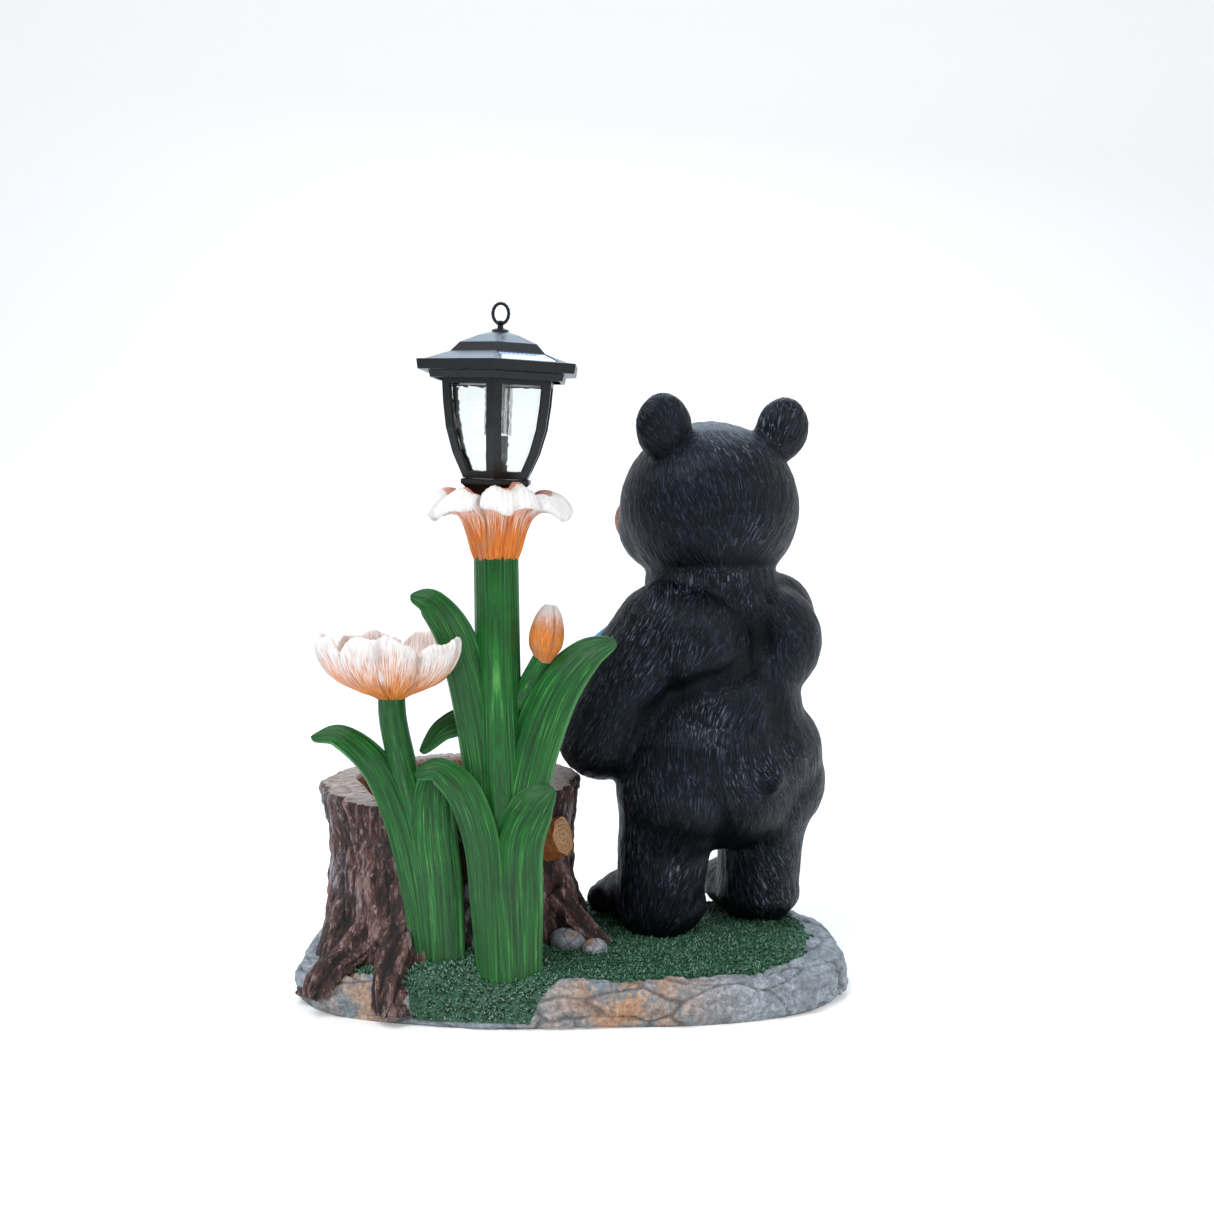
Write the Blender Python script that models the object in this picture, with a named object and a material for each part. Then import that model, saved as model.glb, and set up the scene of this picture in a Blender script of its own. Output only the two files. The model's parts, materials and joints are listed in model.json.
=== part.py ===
"""Painted resin garden statue: a black bear waters the flowers round a hollow tree stump.

A solar lantern stands in the tallest flower. Metres, +Z up. The origin is at the middle of the
base's underside, +X runs along the base from the stump to the bear, and the bear looks towards +Y.
"""

import math

import bmesh
import bpy
from mathutils import Euler, Matrix, Vector

# Base: an oval slab of grass with a rim of flat stones
BASE_LENGTH = 0.3555
BASE_DEPTH = 0.200
BASE_SQUARENESS = 3.1
RIM_HEIGHT = 0.0255
GROUND_RISE = 0.0030
STONE_COUNT = 15
STONE_RELIEF = 0.0022
MOUND_ANGLE = math.radians(-117)
MOUND_SPREAD = math.radians(18)
BASE_STEPS = 52

# Stump: a planter with bark outside, a cut rim and a tapered hollow
STUMP_CENTRE = Vector((-0.221 * BASE_LENGTH, 0.040 * BASE_DEPTH))
STUMP_HEIGHT = 0.129
STUMP_RADIUS = 0.0790
STUMP_FLARE = 0.004
CUT_CHAMFER = 0.0022
BARK_DEPTH = 0.0030
BARK_FURROWS = 13
HOLLOW_RADIUS = 0.76 * STUMP_RADIUS
HOLLOW_FLOOR_RADIUS = 0.66 * STUMP_RADIUS
HOLLOW_STEPS = 32
HOLLOW_FLOOR = 0.034
HOLLOW_OFFSET = Vector((0.002, 0.004))
ROOT_REACH = 0.019
ROOT_ANGLES = (-143, -104, -16, 28, 84, 140)
ROOT_SPREAD = math.radians(11)
STUMP_STEPS = 48
KNOT_ANGLE = math.radians(-26)
KNOT_HEIGHT = 0.75 * STUMP_HEIGHT
KNOT_RADIUS = 0.0112
KNOT_SUNK = 0.008
KNOT_RISE = 0.28
KNOT_STAND = 0.0085

# Pebbles beside the stump: centre in shares of the base's length and depth, radius, flatness
PEBBLES = ((-0.0015, -0.170, 0.0118, 0.72), (0.0465, -0.225, 0.0082, 0.80))

# Plants: two roots on the front slope of the ground
MAIN_ROOT = Vector((-0.0956 * BASE_LENGTH, -0.355 * BASE_DEPTH))
SIDE_ROOT = Vector((-0.2166 * BASE_LENGTH, -0.350 * BASE_DEPTH))
ROOT_SINK = 0.014
STEM_RADIUS = 0.0132
SIDE_STEM_RADIUS = 0.0080
BUD_STEM_RADIUS = 0.0052
LEAF_THICKNESS = 0.0054
LEAF_STATIONS = 8
LEAF_FOLD = 0.22
LEAF_SECTION = (
    # place across half the width, and on which side of the middle the skin is
    (-1.0, 0.0),
    (-0.55, 1.0),
    (0.0, 1.25),
    (0.55, 1.0),
    (1.0, 0.0),
    (0.5, -1.0),
    (0.0, -1.0),
    (-0.5, -1.0),
)

# Main flower, which holds the lantern
PETAL_COUNT = 5
FLOWER_STEPS = 30
FLOWER_FOOT_HEIGHT = 0.2754
SEAT_HEIGHT = FLOWER_FOOT_HEIGHT + 0.0321
SOCKET_DEPTH = 0.026
TRUMPET_TURN = math.radians(-4)
TRUMPET = (
    # height and radius of a petal's middle, then of a groove, round the wall from foot to floor
    (0.0000, 0.0132, 0.0000, 0.0130),
    (0.0065, 0.0158, 0.0065, 0.0152),
    (0.0164, 0.0187, 0.0164, 0.0172),
    (0.0252, 0.0228, 0.0250, 0.0196),
    (0.0302, 0.0300, 0.0300, 0.0218),
    (0.0305, 0.0380, 0.0330, 0.0232),
    (0.0268, 0.0440, 0.0344, 0.0244),
    (0.0308, 0.0452, 0.0352, 0.0250),
    (0.0385, 0.0398, 0.0366, 0.0243),
    (0.0424, 0.0318, 0.0372, 0.0230),
    (0.0412, 0.0245, 0.0352, 0.0212),
    (0.0330, 0.0196, 0.0322, 0.0188),
    (0.0308, 0.0150, 0.0308, 0.0150),
)

# Open flower beside it, and the bud
BOWL_FOOT_HEIGHT = 0.1925
BOWL_TURN = math.radians(20)
BOWL = (
    (0.0000, 0.0080, 0.0000, 0.0080),
    (0.0022, 0.0120, 0.0022, 0.0115),
    (0.0055, 0.0205, 0.0052, 0.0190),
    (0.0105, 0.0300, 0.0098, 0.0275),
    (0.0180, 0.0378, 0.0158, 0.0340),
    (0.0270, 0.0428, 0.0222, 0.0376),
    (0.0345, 0.0444, 0.0262, 0.0388),
    (0.0385, 0.0428, 0.0276, 0.0380),
    (0.0365, 0.0396, 0.0262, 0.0358),
    (0.0250, 0.0378, 0.0212, 0.0336),
    (0.0150, 0.0318, 0.0140, 0.0288),
    (0.0090, 0.0200, 0.0090, 0.0190),
)
BUD_LENGTH = 0.0310
BUD_RADIUS = 0.0105

# Lantern: six-sided, moulded in black and clear plastic
LANTERN_LEAN = math.radians(2.0)
LANTERN_NOD = math.radians(2.0)
LANTERN_RADIUS = 0.0369
LANTERN_FOOT_RADIUS = 0.59 * LANTERN_RADIUS
LANTERN_BODY_HEIGHT = 0.0585
FRAME_WALL = 0.0022
WINDOW_BORDER = 0.0052
WINDOW_MARGIN = 0.0040
LINER_WALL = 0.0014
CUP_RADIUS = 0.63 * LANTERN_RADIUS
CUP_HEIGHT = 0.0168
SPIGOT_RADIUS = 0.60 * STEM_RADIUS
SPIGOT_LENGTH = 0.020
FIT_GAP = 0.0004
ROOF_RADIUS = 1.436 * LANTERN_RADIUS
ROOF_WALL = 0.0022
FASCIA_HEIGHT = 0.0063
STEP_HEIGHT = 0.0038
ROOF_RISE = 0.0185
PANEL_THICKNESS = 0.0012
TUBE_RADIUS = 0.0080
TUBE_LENGTH = 0.51 * LANTERN_BODY_HEIGHT
TUBE_WALL = 0.0011
HOUSING_RADIUS = 0.76 * LANTERN_RADIUS
HOUSING_HEIGHT = 0.0060
RING_RADIUS_X = 0.0047
RING_RADIUS_Z = 0.0060
RING_WIRE = 0.0010
RING_STEPS = 16
WIRE_STEPS = 6
# Height and radius up the collar and the knob that hold the hanging ring
COLLAR = (
    (0.0000, 0.0052),
    (0.0008, 0.0050),
    (0.0022, 0.0018),
    (0.0034, 0.0017),
    (0.0050, 0.0026),
    (0.0062, 0.0016),
)

# Bear: all of its proportions are hundredths of its height from the soles to the ear tips
BEAR_HEIGHT = 0.352
BEAR_PLACE = Vector((0.273 * BASE_LENGTH, 0.10 * BASE_DEPTH))
BEAR_TURN = math.radians(28)
BEAR_SKIN = 0.0028
BEAR_SMOOTHING = 9
BEAR_TRIANGLE_SHARE = 0.026

# Watering can in the bear's paws: its middle is in hundredths of the bear's height
CAN_PLACE = Vector((-5.9, 28.9, 45.0))
CAN_TILT = math.radians(-40)
CAN_RADIUS = 0.085 * BEAR_HEIGHT
CAN_HEIGHT = 0.165 * BEAR_HEIGHT
SPOUT_RADIUS = 0.0052
HANDLE_RADIUS = 0.0034
CAN_STEPS = 20

COLOURS = {
    "painted_resin": ((0.030, 0.032, 0.036), 0.45),
    "black_plastic": ((0.018, 0.019, 0.022), 0.38),
    "clear_plastic": ((0.90, 0.93, 0.92), 0.08),
    "solar_cell": ((0.16, 0.24, 0.36), 0.18),
}


def ground_height():
    return RIM_HEIGHT + GROUND_RISE


def clear_scene():
    for obj in list(bpy.data.objects):
        bpy.data.objects.remove(obj, do_unlink=True)


def material(name):
    colour, roughness = COLOURS[name]
    found = bpy.data.materials.get(name) or bpy.data.materials.new(name)
    found.use_nodes = True
    shader = found.node_tree.nodes["Principled BSDF"]
    shader.inputs["Base Color"].default_value = (*colour, 1.0)
    shader.inputs["Roughness"].default_value = roughness
    shader.inputs["Metallic"].default_value = 0.0
    if name == "clear_plastic":
        shader.inputs["Transmission Weight"].default_value = 1.0
    return found


def object_from(bm, name, finish="painted_resin", crease=40):
    """A new object that takes the bmesh, with its faces pointing out."""
    bmesh.ops.recalc_face_normals(bm, faces=bm.faces)
    mesh = bpy.data.meshes.new(name)
    bm.to_mesh(mesh)
    bm.free()
    obj = bpy.data.objects.new(name, mesh)
    bpy.context.scene.collection.objects.link(obj)
    mesh.materials.append(material(finish))
    mesh.shade_smooth()
    mesh.set_sharp_from_angle(angle=math.radians(crease))
    return obj


def add_loft(bm, rings):
    """Closes a stack of rings, each with as many points, into a solid."""
    made = [[bm.verts.new(point) for point in ring] for ring in rings]
    count = len(made[0])
    for low, high in zip(made, made[1:]):
        for i in range(count):
            j = (i + 1) % count
            bm.faces.new((low[i], low[j], high[j], high[i]))
    for ring in (made[0], made[-1]):
        middle = bm.verts.new(sum((v.co for v in ring), Vector()) / count)
        for i in range(count):
            bm.faces.new((ring[i], ring[(i + 1) % count], middle))


def loft(name, rings, finish="painted_resin", crease=40):
    bm = bmesh.new()
    add_loft(bm, rings)
    return object_from(bm, name, finish, crease)


def circle(centre, radius, steps, start=0.0):
    """A level ring round a point."""
    return [
        Vector(centre)
        + Vector((radius * math.cos(a), radius * math.sin(a), 0.0))
        for a in (start + math.tau * i / steps for i in range(steps))
    ]


def bake(obj):
    """Replaces an object's mesh by its evaluated one, with the modifiers applied."""
    graph = bpy.context.evaluated_depsgraph_get()
    mesh = bpy.data.meshes.new_from_object(obj.evaluated_get(graph))
    obj.modifiers.clear()
    obj.data = mesh
    return obj


def combine(target, others, operation, solver="EXACT"):
    """Booleans others into or out of target, all at once, and removes them."""
    group = bpy.data.collections.new("operands")
    for other in others:
        group.objects.link(other)
    modifier = target.modifiers.new("join", "BOOLEAN")
    modifier.operation = operation
    modifier.solver = solver
    modifier.operand_type = "COLLECTION"
    modifier.collection = group
    bake(target)
    for other in others:
        bpy.data.objects.remove(other, do_unlink=True)
    bpy.data.collections.remove(group)
    return target


def smooth_curve(points, stations):
    """Points along a Catmull-Rom curve through the given ones."""
    ends = [2 * points[0] - points[1], *points, 2 * points[-1] - points[-2]]
    found = []
    for i in range(stations):
        where = i / (stations - 1) * (len(points) - 1)
        k = min(int(where), len(points) - 2)
        t = where - k
        a, b, c, d = ends[k : k + 4]
        found.append(
            0.5
            * (
                2 * b
                + (c - a) * t
                + (2 * a - 5 * b + 4 * c - d) * t**2
                + (3 * b - a - 3 * c + d) * t**3
            )
        )
    return found


def along(line, i):
    """The direction of a line of points at one of them."""
    return (line[min(i + 1, len(line) - 1)] - line[max(i - 1, 0)]).normalized()


def tube_rings(line, radii, steps=12):
    """Rings square to a line of points, one for each radius."""
    rings = []
    for i, (point, radius) in enumerate(zip(line, radii)):
        turn = along(line, i).to_track_quat("Z", "Y").to_matrix()
        rings.append([point + turn @ p for p in circle((0, 0, 0), radius, steps)])
    return rings


def gap_from(angle, other):
    """The angle between two directions, from 0 to half a turn."""
    return abs((angle - other + math.pi) % math.tau - math.pi)


def bump(angle, other, spread):
    return math.exp(-((gap_from(angle, other) / spread) ** 2))


# Base


def base_edge(angle, inset=0.0):
    """The base's outline: an oval with square shoulders and an uneven edge."""
    c, s = math.cos(angle), math.sin(angle)
    a, b, n = BASE_LENGTH / 2, BASE_DEPTH / 2, BASE_SQUARENESS
    reach = (abs(c / a) ** n + abs(s / b) ** n) ** (-1 / n)
    reach *= 1 + 0.010 * math.sin(3 * angle + 0.6) + 0.008 * math.sin(7 * angle + 2.0) - 0.012
    return (reach - inset) * Vector((c, s))


def stone_phase(angle):
    uneven = 0.35 * math.sin(2 * angle) + 0.22 * math.sin(5 * angle + 1)
    return STONE_COUNT * angle / math.tau + uneven


def stone_swell(angle):
    """1 on the middle of a stone, 0 in the joint between two."""
    return abs(math.sin(math.pi * stone_phase(angle))) ** 0.35


def base_profile():
    """(height, inset) of the stone rim and of the grass mound, from the underside inwards."""
    stones = (
        (0.0, 0.0035),
        (0.20 * RIM_HEIGHT, 0.0),
        (0.62 * RIM_HEIGHT, 0.0004),
        (0.92 * RIM_HEIGHT, 0.0052),
        (1.0 * RIM_HEIGHT, 0.0120),
        (1.0 * RIM_HEIGHT, 0.0200),
        (ground_height(), 0.0480),
    )
    mound = (
        (0.0, 0.0008),
        (0.16 * RIM_HEIGHT, 0.0),
        (0.40 * RIM_HEIGHT, 0.0055),
        (0.64 * RIM_HEIGHT, 0.0125),
        (0.82 * RIM_HEIGHT, 0.0200),
        (0.95 * RIM_HEIGHT, 0.0300),
        (ground_height(), 0.0520),
    )
    return stones, mound


def make_base():
    rings = []
    for (stone_z, stone_in), (mound_z, mound_in) in zip(*base_profile()):
        ring = []
        for i in range(BASE_STEPS):
            angle = math.tau * i / BASE_STEPS
            grass = bump(angle, MOUND_ANGLE, MOUND_SPREAD)
            z = stone_z + (mound_z - stone_z) * grass
            inset = stone_in + (mound_in - stone_in) * grass
            on_rim = 1 - grass if stone_in < 0.010 else 0.0
            inset += STONE_RELIEF * (1 - stone_swell(angle)) * on_rim
            ring.append(base_edge(angle, inset).to_3d() + Vector((0, 0, z)))
        rings.append(ring)
    return loft("statue", rings)


# Stump


def bark(angle, height):
    """How far the bark stands out: furrows that wander as they climb."""
    wander = 0.5 * math.sin(14 * height / STUMP_HEIGHT + 3 * angle) + 0.35 * math.sin(5 * angle + 1)
    ridge = abs(math.sin(0.5 * BARK_FURROWS * angle + wander))
    return BARK_DEPTH * (ridge**0.6 - 0.6)


def root_swell(angle, height):
    """How far the roots stand out of the stump, most at the ground."""
    share = max(0.0, 1 - (height - 0.5 * RIM_HEIGHT) / (0.62 * STUMP_HEIGHT))
    return sum(
        ROOT_REACH * share**1.7 * bump(angle, math.radians(a), ROOT_SPREAD)
        + 0.25 * ROOT_REACH * share**1.2 * bump(angle, math.radians(a), 1.8 * ROOT_SPREAD)
        for a in ROOT_ANGLES
    )


def stump_radius(angle, height):
    share = height / STUMP_HEIGHT
    lip = 0.0015 * share**6
    oval = 1 + 0.035 * math.sin(2 * angle + 0.7) + 0.018 * math.sin(3 * angle)
    waist = STUMP_RADIUS - 0.0045 * math.sin(math.pi * share)
    flare = STUMP_FLARE * (1 - share) ** 2
    return (waist + flare + lip) * oval + root_swell(angle, height) + bark(angle, height)


def stump_top(angle):
    """The cut's height: a little higher at the far side, with a chipped edge."""
    return STUMP_HEIGHT * (1 + 0.022 * math.sin(angle) + 0.008 * math.sin(4 * angle + 1))


def make_stump():
    """Rings up the bark, the lowest one sunk in the base."""
    low = 0.95 * RIM_HEIGHT / STUMP_HEIGHT
    shares = (0.3 * low, low, 0.30, 0.42, 0.58, 0.76, 0.93, 1.0)
    rings = []
    for share in shares:
        ring = []
        for i in range(STUMP_STEPS):
            angle = math.tau * i / STUMP_STEPS
            z = share * stump_top(angle)
            radius = stump_radius(angle, z)
            if share == shares[0]:
                radius = 0.9 * STUMP_RADIUS
            if share == shares[-1]:
                radius -= CUT_CHAMFER
            around = radius * Vector((math.cos(angle), math.sin(angle)))
            ring.append((STUMP_CENTRE + around).to_3d() + Vector((0, 0, z)))
        rings.append(ring)
    return loft("stump", rings)


def make_hollow():
    """The cutter for the planter's hollow, tapered down to a flat floor."""
    rings = []
    top = STUMP_HEIGHT + 0.02
    for k in range(5):
        share = k / 4
        z = HOLLOW_FLOOR + (top - HOLLOW_FLOOR) * share
        radius = HOLLOW_FLOOR_RADIUS + (HOLLOW_RADIUS - HOLLOW_FLOOR_RADIUS) * share
        ring = []
        for i in range(HOLLOW_STEPS):
            angle = math.tau * i / HOLLOW_STEPS
            uneven = 0.05 * math.sin(3 * angle + 1) + 0.03 * math.sin(5 * angle)
            around = radius * (1 + share * uneven) * Vector((math.cos(angle), math.sin(angle)))
            ring.append((STUMP_CENTRE + HOLLOW_OFFSET + around).to_3d() + Vector((0, 0, z)))
        rings.append(ring)
    return loft("hollow", rings)


def make_knot():
    """The stub of a sawn branch on the bark."""
    around = Vector((math.cos(KNOT_ANGLE), math.sin(KNOT_ANGLE), 0))
    out = (around + Vector((0, 0, KNOT_RISE))).normalized()
    on_bark = around * stump_radius(KNOT_ANGLE, KNOT_HEIGHT)
    middle = STUMP_CENTRE.to_3d() + Vector((0, 0, KNOT_HEIGHT)) + on_bark
    line = [middle - out * KNOT_SUNK, middle, middle + out * KNOT_STAND]
    radii = (1.12 * KNOT_RADIUS, 1.06 * KNOT_RADIUS, KNOT_RADIUS)
    return loft("knot", tube_rings(line, radii, 14))


def add_ellipsoid(bm, centre, radii, turn=(0, 0, 0), steps=16):
    """An ellipsoid, turned by angles in degrees about its centre."""
    spin = Euler([math.radians(a) for a in turn]).to_matrix().to_4x4()
    matrix = Matrix.Translation(Vector(centre)) @ spin @ Matrix.Diagonal((*radii, 1))
    bmesh.ops.create_uvsphere(
        bm, u_segments=steps, v_segments=max(6, steps * 5 // 8), radius=1, matrix=matrix
    )


def make_pebble(number, x, y, radius, flatness):
    bm = bmesh.new()
    centre = (x * BASE_LENGTH, y * BASE_DEPTH, ground_height() + 0.40 * radius)
    add_ellipsoid(bm, centre, (radius, 0.8 * radius, flatness * radius), (0, 8, 25 * number), 12)
    return object_from(bm, f"pebble_{number}")


# Plants


def from_root(root, offsets):
    """Points given from a plant's root on the ground, the first sunk into it."""
    foot = root.to_3d() + Vector((0, 0, ground_height()))
    line = [foot + Vector(offset) for offset in offsets]
    line[0].z -= ROOT_SINK
    return line


def make_leaf(name, line, width, facing, tip_facing):
    """A thick strap leaf along a line: widest below the middle, channelled, with a rounded tip."""
    line = smooth_curve(line, LEAF_STATIONS)
    rings = []
    for i, point in enumerate(line):
        t = i / (LEAF_STATIONS - 1)
        tangent = along(line, i)
        normal = (Vector(facing) * (1 - t) + Vector(tip_facing) * t).normalized()
        side = tangent.cross(normal).normalized()
        normal = side.cross(tangent)
        half = 0.5 * width * (0.74 + 0.9 * t * (1 - t)) * (1 - t**4) ** 0.55 + 0.0011
        thick = 0.5 * LEAF_THICKNESS * (1.25 - 0.6 * t)
        ring = []
        for u, skin in LEAF_SECTION:
            lift = -LEAF_FOLD * half * u * u + skin * thick
            ring.append(point + side * (u * half) + normal * lift)
        rings.append(ring)
    return loft(name, rings, crease=50)


def make_stem(name, line, radius, stations=6, steps=14):
    line = smooth_curve(line, stations)
    radii = [radius * (1.12 - 0.12 * i / (stations - 1)) for i in range(stations)]
    return loft(name, tube_rings(line, radii, steps))


def petal(angle):
    """1 along a petal's middle, 0 in the groove between two."""
    return abs(math.cos(0.5 * PETAL_COUNT * angle)) ** 0.45


def make_flower(name, profile, foot, turn):
    """A thin-walled flower: up the outer skin, over the rim and down to a flat floor inside."""
    rings = []
    for height, radius, groove_height, groove_radius in profile:
        ring = []
        for i in range(FLOWER_STEPS):
            angle = math.tau * i / FLOWER_STEPS - turn
            lobe = petal(angle + turn)
            r = groove_radius + (radius - groove_radius) * lobe
            z = groove_height + (height - groove_height) * lobe
            ring.append(foot + Vector((r * math.cos(angle), r * math.sin(angle), z)))
        rings.append(ring)
    return loft(name, rings)


def make_bud(foot, direction):
    """A closed bud, with its petals' tips just parting."""
    line = [foot + direction * BUD_LENGTH * s for s in (-0.12, 0.0, 0.18, 0.42, 0.68, 0.88, 1.0)]
    widths = (0.45, 0.62, 0.93, 1.0, 0.86, 0.62, 0.40)
    return loft("bud", tube_rings(line, [BUD_RADIUS * w for w in widths], 12))


MAIN_STEM = (
    (0.0000, 0.0000, 0.000),
    (-0.0030, 0.0020, 0.060),
    (-0.0070, 0.0050, 0.150),
    (-0.0087, 0.0080, 0.247),
)
SIDE_STEM = (
    (0.0000, 0.0000, 0.000),
    (-0.0100, 0.0010, 0.065),
    (-0.0210, 0.0010, 0.118),
    (-0.0275, 0.0010, 0.150),
    (-0.0285, 0.0010, 0.166),
)
BUD_STEM = (
    (-0.0040, 0.0060, 0.145),
    (0.0050, 0.0040, 0.162),
    (0.0180, 0.0020, 0.184),
)
BUD_DIRECTION = (0.14, 0.0, 1.0)

# Leaves: points from the plant's root on the ground, upwards
TALL_LEAF = (
    (-0.0060, -0.0040, 0.000),
    (-0.0120, -0.0040, 0.080),
    (-0.0190, -0.0030, 0.145),
    (-0.0300, -0.0040, 0.196),
    (-0.0450, -0.0050, 0.221),
    (-0.0585, -0.0040, 0.226),
)
RIGHT_LEAF = (
    (0.0020, -0.0060, 0.000),
    (0.0020, -0.0070, 0.070),
    (0.0110, -0.0060, 0.125),
    (0.0260, -0.0040, 0.167),
    (0.0440, -0.0020, 0.190),
    (0.0635, 0.0000, 0.199),
)
FRONT_LEAF = (
    (0.0050, -0.0135, -0.004),
    (0.0040, -0.0165, 0.035),
    (0.0060, -0.0155, 0.078),
    (0.0160, -0.0130, 0.101),
    (0.0275, -0.0100, 0.112),
)
CURLED_LEAF = (
    (-0.0110, -0.0120, -0.004),
    (-0.0140, -0.0150, 0.040),
    (-0.0170, -0.0160, 0.080),
    (-0.0270, -0.0160, 0.110),
    (-0.0420, -0.0155, 0.124),
    (-0.0555, -0.0150, 0.120),
)
LEFT_LEAF = (
    (-0.0060, -0.0060, 0.000),
    (-0.0140, -0.0060, 0.045),
    (-0.0260, -0.0050, 0.090),
    (-0.0420, -0.0040, 0.124),
    (-0.0600, -0.0020, 0.141),
    (-0.0765, 0.0000, 0.140),
)
BROAD_LEAF = (
    (0.0040, -0.0070, 0.000),
    (0.0010, -0.0080, 0.045),
    (-0.0030, -0.0080, 0.085),
    (-0.0030, -0.0070, 0.112),
    (0.0020, -0.0060, 0.121),
)
REAR_LEAF = (
    (-0.0040, 0.0080, 0.070),
    (-0.0100, 0.0100, 0.110),
    (-0.0240, 0.0100, 0.146),
    (-0.0400, 0.0060, 0.146),
    (-0.0540, 0.0020, 0.131),
)
LEAVES = {
    # name: root, line, width, the way it faces at its foot and at its tip
    "tall_leaf": (MAIN_ROOT, TALL_LEAF, 0.0250, (0.10, -1.0, 0.0), (0.0, -0.9, 0.5)),
    "right_leaf": (MAIN_ROOT, RIGHT_LEAF, 0.0310, (-0.15, -1.0, 0.0), (-0.2, -0.9, 0.4)),
    "front_leaf": (MAIN_ROOT, FRONT_LEAF, 0.0330, (0.0, -1.0, 0.0), (-0.2, -1.0, 0.1)),
    "curled_leaf": (MAIN_ROOT, CURLED_LEAF, 0.0215, (-0.3, -1.0, 0.0), (0.0, -0.8, 0.6)),
    "left_leaf": (SIDE_ROOT, LEFT_LEAF, 0.0200, (-0.15, -1.0, 0.0), (0.0, -0.7, 0.7)),
    "broad_leaf": (SIDE_ROOT, BROAD_LEAF, 0.0285, (0.05, -1.0, 0.0), (0.0, -0.9, 0.5)),
    "rear_leaf": (MAIN_ROOT, REAR_LEAF, 0.0200, (-0.4, -0.9, 0.0), (0.0, -0.6, 0.8)),
}


def make_plants():
    main = from_root(MAIN_ROOT, MAIN_STEM)
    main[-1].z = FLOWER_FOOT_HEIGHT + 0.008
    side = from_root(SIDE_ROOT, SIDE_STEM)
    side[-1].z = BOWL_FOOT_HEIGHT + 0.008
    bud = from_root(MAIN_ROOT, BUD_STEM)
    bud[0].z += ROOT_SINK
    made = [
        make_stem("main_stem", main, STEM_RADIUS),
        make_stem("side_stem", side, SIDE_STEM_RADIUS),
        make_stem("bud_stem", bud, BUD_STEM_RADIUS, 4, 10),
    ]
    for name, (root, offsets, width, facing, tip_facing) in LEAVES.items():
        made.append(make_leaf(name, from_root(root, offsets), width, facing, tip_facing))
    foot = Vector((main[-1].x, main[-1].y, FLOWER_FOOT_HEIGHT))
    made.append(make_flower("main_flower", TRUMPET, foot, TRUMPET_TURN))
    foot = Vector((side[-1].x, side[-1].y, BOWL_FOOT_HEIGHT))
    made.append(make_flower("open_flower", BOWL, foot, BOWL_TURN))
    direction = Vector(BUD_DIRECTION).normalized()
    made.append(make_bud(bud[-1] - direction * 0.002, direction))
    return made


# Bear

BEAR_LOBES = {
    # name: (centre, radii, turn in degrees), mirrored where x is not 0
    "hips": ((0, 0.2, 33.5), (20.8, 18.0, 13.8), (0, 0, 0)),
    "belly": ((0, 6.0, 38.0), (18.0, 18.2, 16.0), (0, 0, 0)),
    "shoulder": ((8.0, -1.5, 57.0), (9.6, 10.0, 9.4), (0, 0, 0)),
    "blade": ((8.6, -5.6, 54.2), (9.0, 9.6, 10.6), (0, 0, 0)),
    "neck": ((0, 2.5, 65.0), (12.8, 12.2, 8.0), (0, 0, 0)),
    "head": ((0, 3.2, 79.2), (17.0, 16.6, 16.2), (0, 0, 0)),
    "cheek": ((5.2, 7.0, 75.5), (10.6, 10.5, 9.4), (0, 0, 0)),
    "muzzle": ((0, 20.0, 76.6), (7.4, 8.2, 6.4), (4, 0, 0)),
    "chin": ((0, 19.0, 72.8), (5.6, 6.2, 4.0), (0, 0, 0)),
    "nose": ((0, 27.6, 79.0), (3.1, 2.0, 2.3), (0, 0, 0)),
    "eye": ((6.4, 17.6, 83.2), (2.0, 1.9, 2.3), (0, 0, 0)),
    "ear": ((12.9, -1.8, 93.8), (5.6, 3.4, 6.3), (8, 12, 0)),
    "heel": ((10.7, 1.8, 5.2), (8.3, 8.3, 5.6), (0, 0, 0)),
    "tail": ((0.8, -16.6, 31.6), (2.5, 3.2, 3.6), (20, 0, 0)),
}
FOOT_SPLAY = 11
FOOT = ((10.9, 8.2, 5.0), (7.3, 11.6, 5.3))
TOE_COUNT = 4
BEAR_LIMBS = {
    # name: points and radii along it
    "torso": (((0, 0.5, 33), 18.0), ((0, 0.5, 44), 16.0), ((0, 0.5, 56), 12.6)),
    "left_leg": (((-9.8, -2.2, 28), 11.8), ((-11.0, 0.2, 18), 9.4), ((-11.4, 1.6, 6), 8.4)),
    "right_leg": (((9.2, -2.2, 28), 11.8), ((9.5, 0.2, 18), 9.4), ((9.8, 1.6, 6), 8.4)),
    "left_arm": (
        ((-12.0, -1.0, 56.8), 9.2),
        ((-18.2, 1.5, 47.5), 9.2),
        ((-22.0, 5.0, 37.6), 8.4),
        ((-15.6, 25.0, 39.0), 6.0),
    ),
    "right_arm": (
        ((11.4, 0, 58.4), 8.8),
        ((15.8, 5, 51.0), 8.0),
        ((16.4, 12, 46.5), 7.4),
        ((8.0, 27.5, 46.5), 5.8),
    ),
}


def bear_frame():
    """From hundredths of the bear's height to its place on the base."""
    place = Matrix.Translation(BEAR_PLACE.to_3d() + Vector((0, 0, ground_height() - 0.0010)))
    return place @ Matrix.Rotation(BEAR_TURN, 4, "Z") @ Matrix.Scale(BEAR_HEIGHT / 100, 4)


def add_limb(bm, joints, steps=28):
    """Balls joined by cones, along a limb."""
    for (start, r0), (end, r1) in zip(joints, joints[1:]):
        start, end = Vector(start), Vector(end)
        turn = (end - start).to_track_quat("Z", "Y").to_matrix().to_4x4()
        matrix = Matrix.Translation((start + end) / 2) @ turn
        bmesh.ops.create_cone(
            bm, cap_ends=True, segments=steps, radius1=r0, radius2=r1,
            depth=(end - start).length, matrix=matrix,
        )
    for point, radius in joints:
        add_ellipsoid(bm, point, (radius,) * 3, steps=steps)


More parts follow.
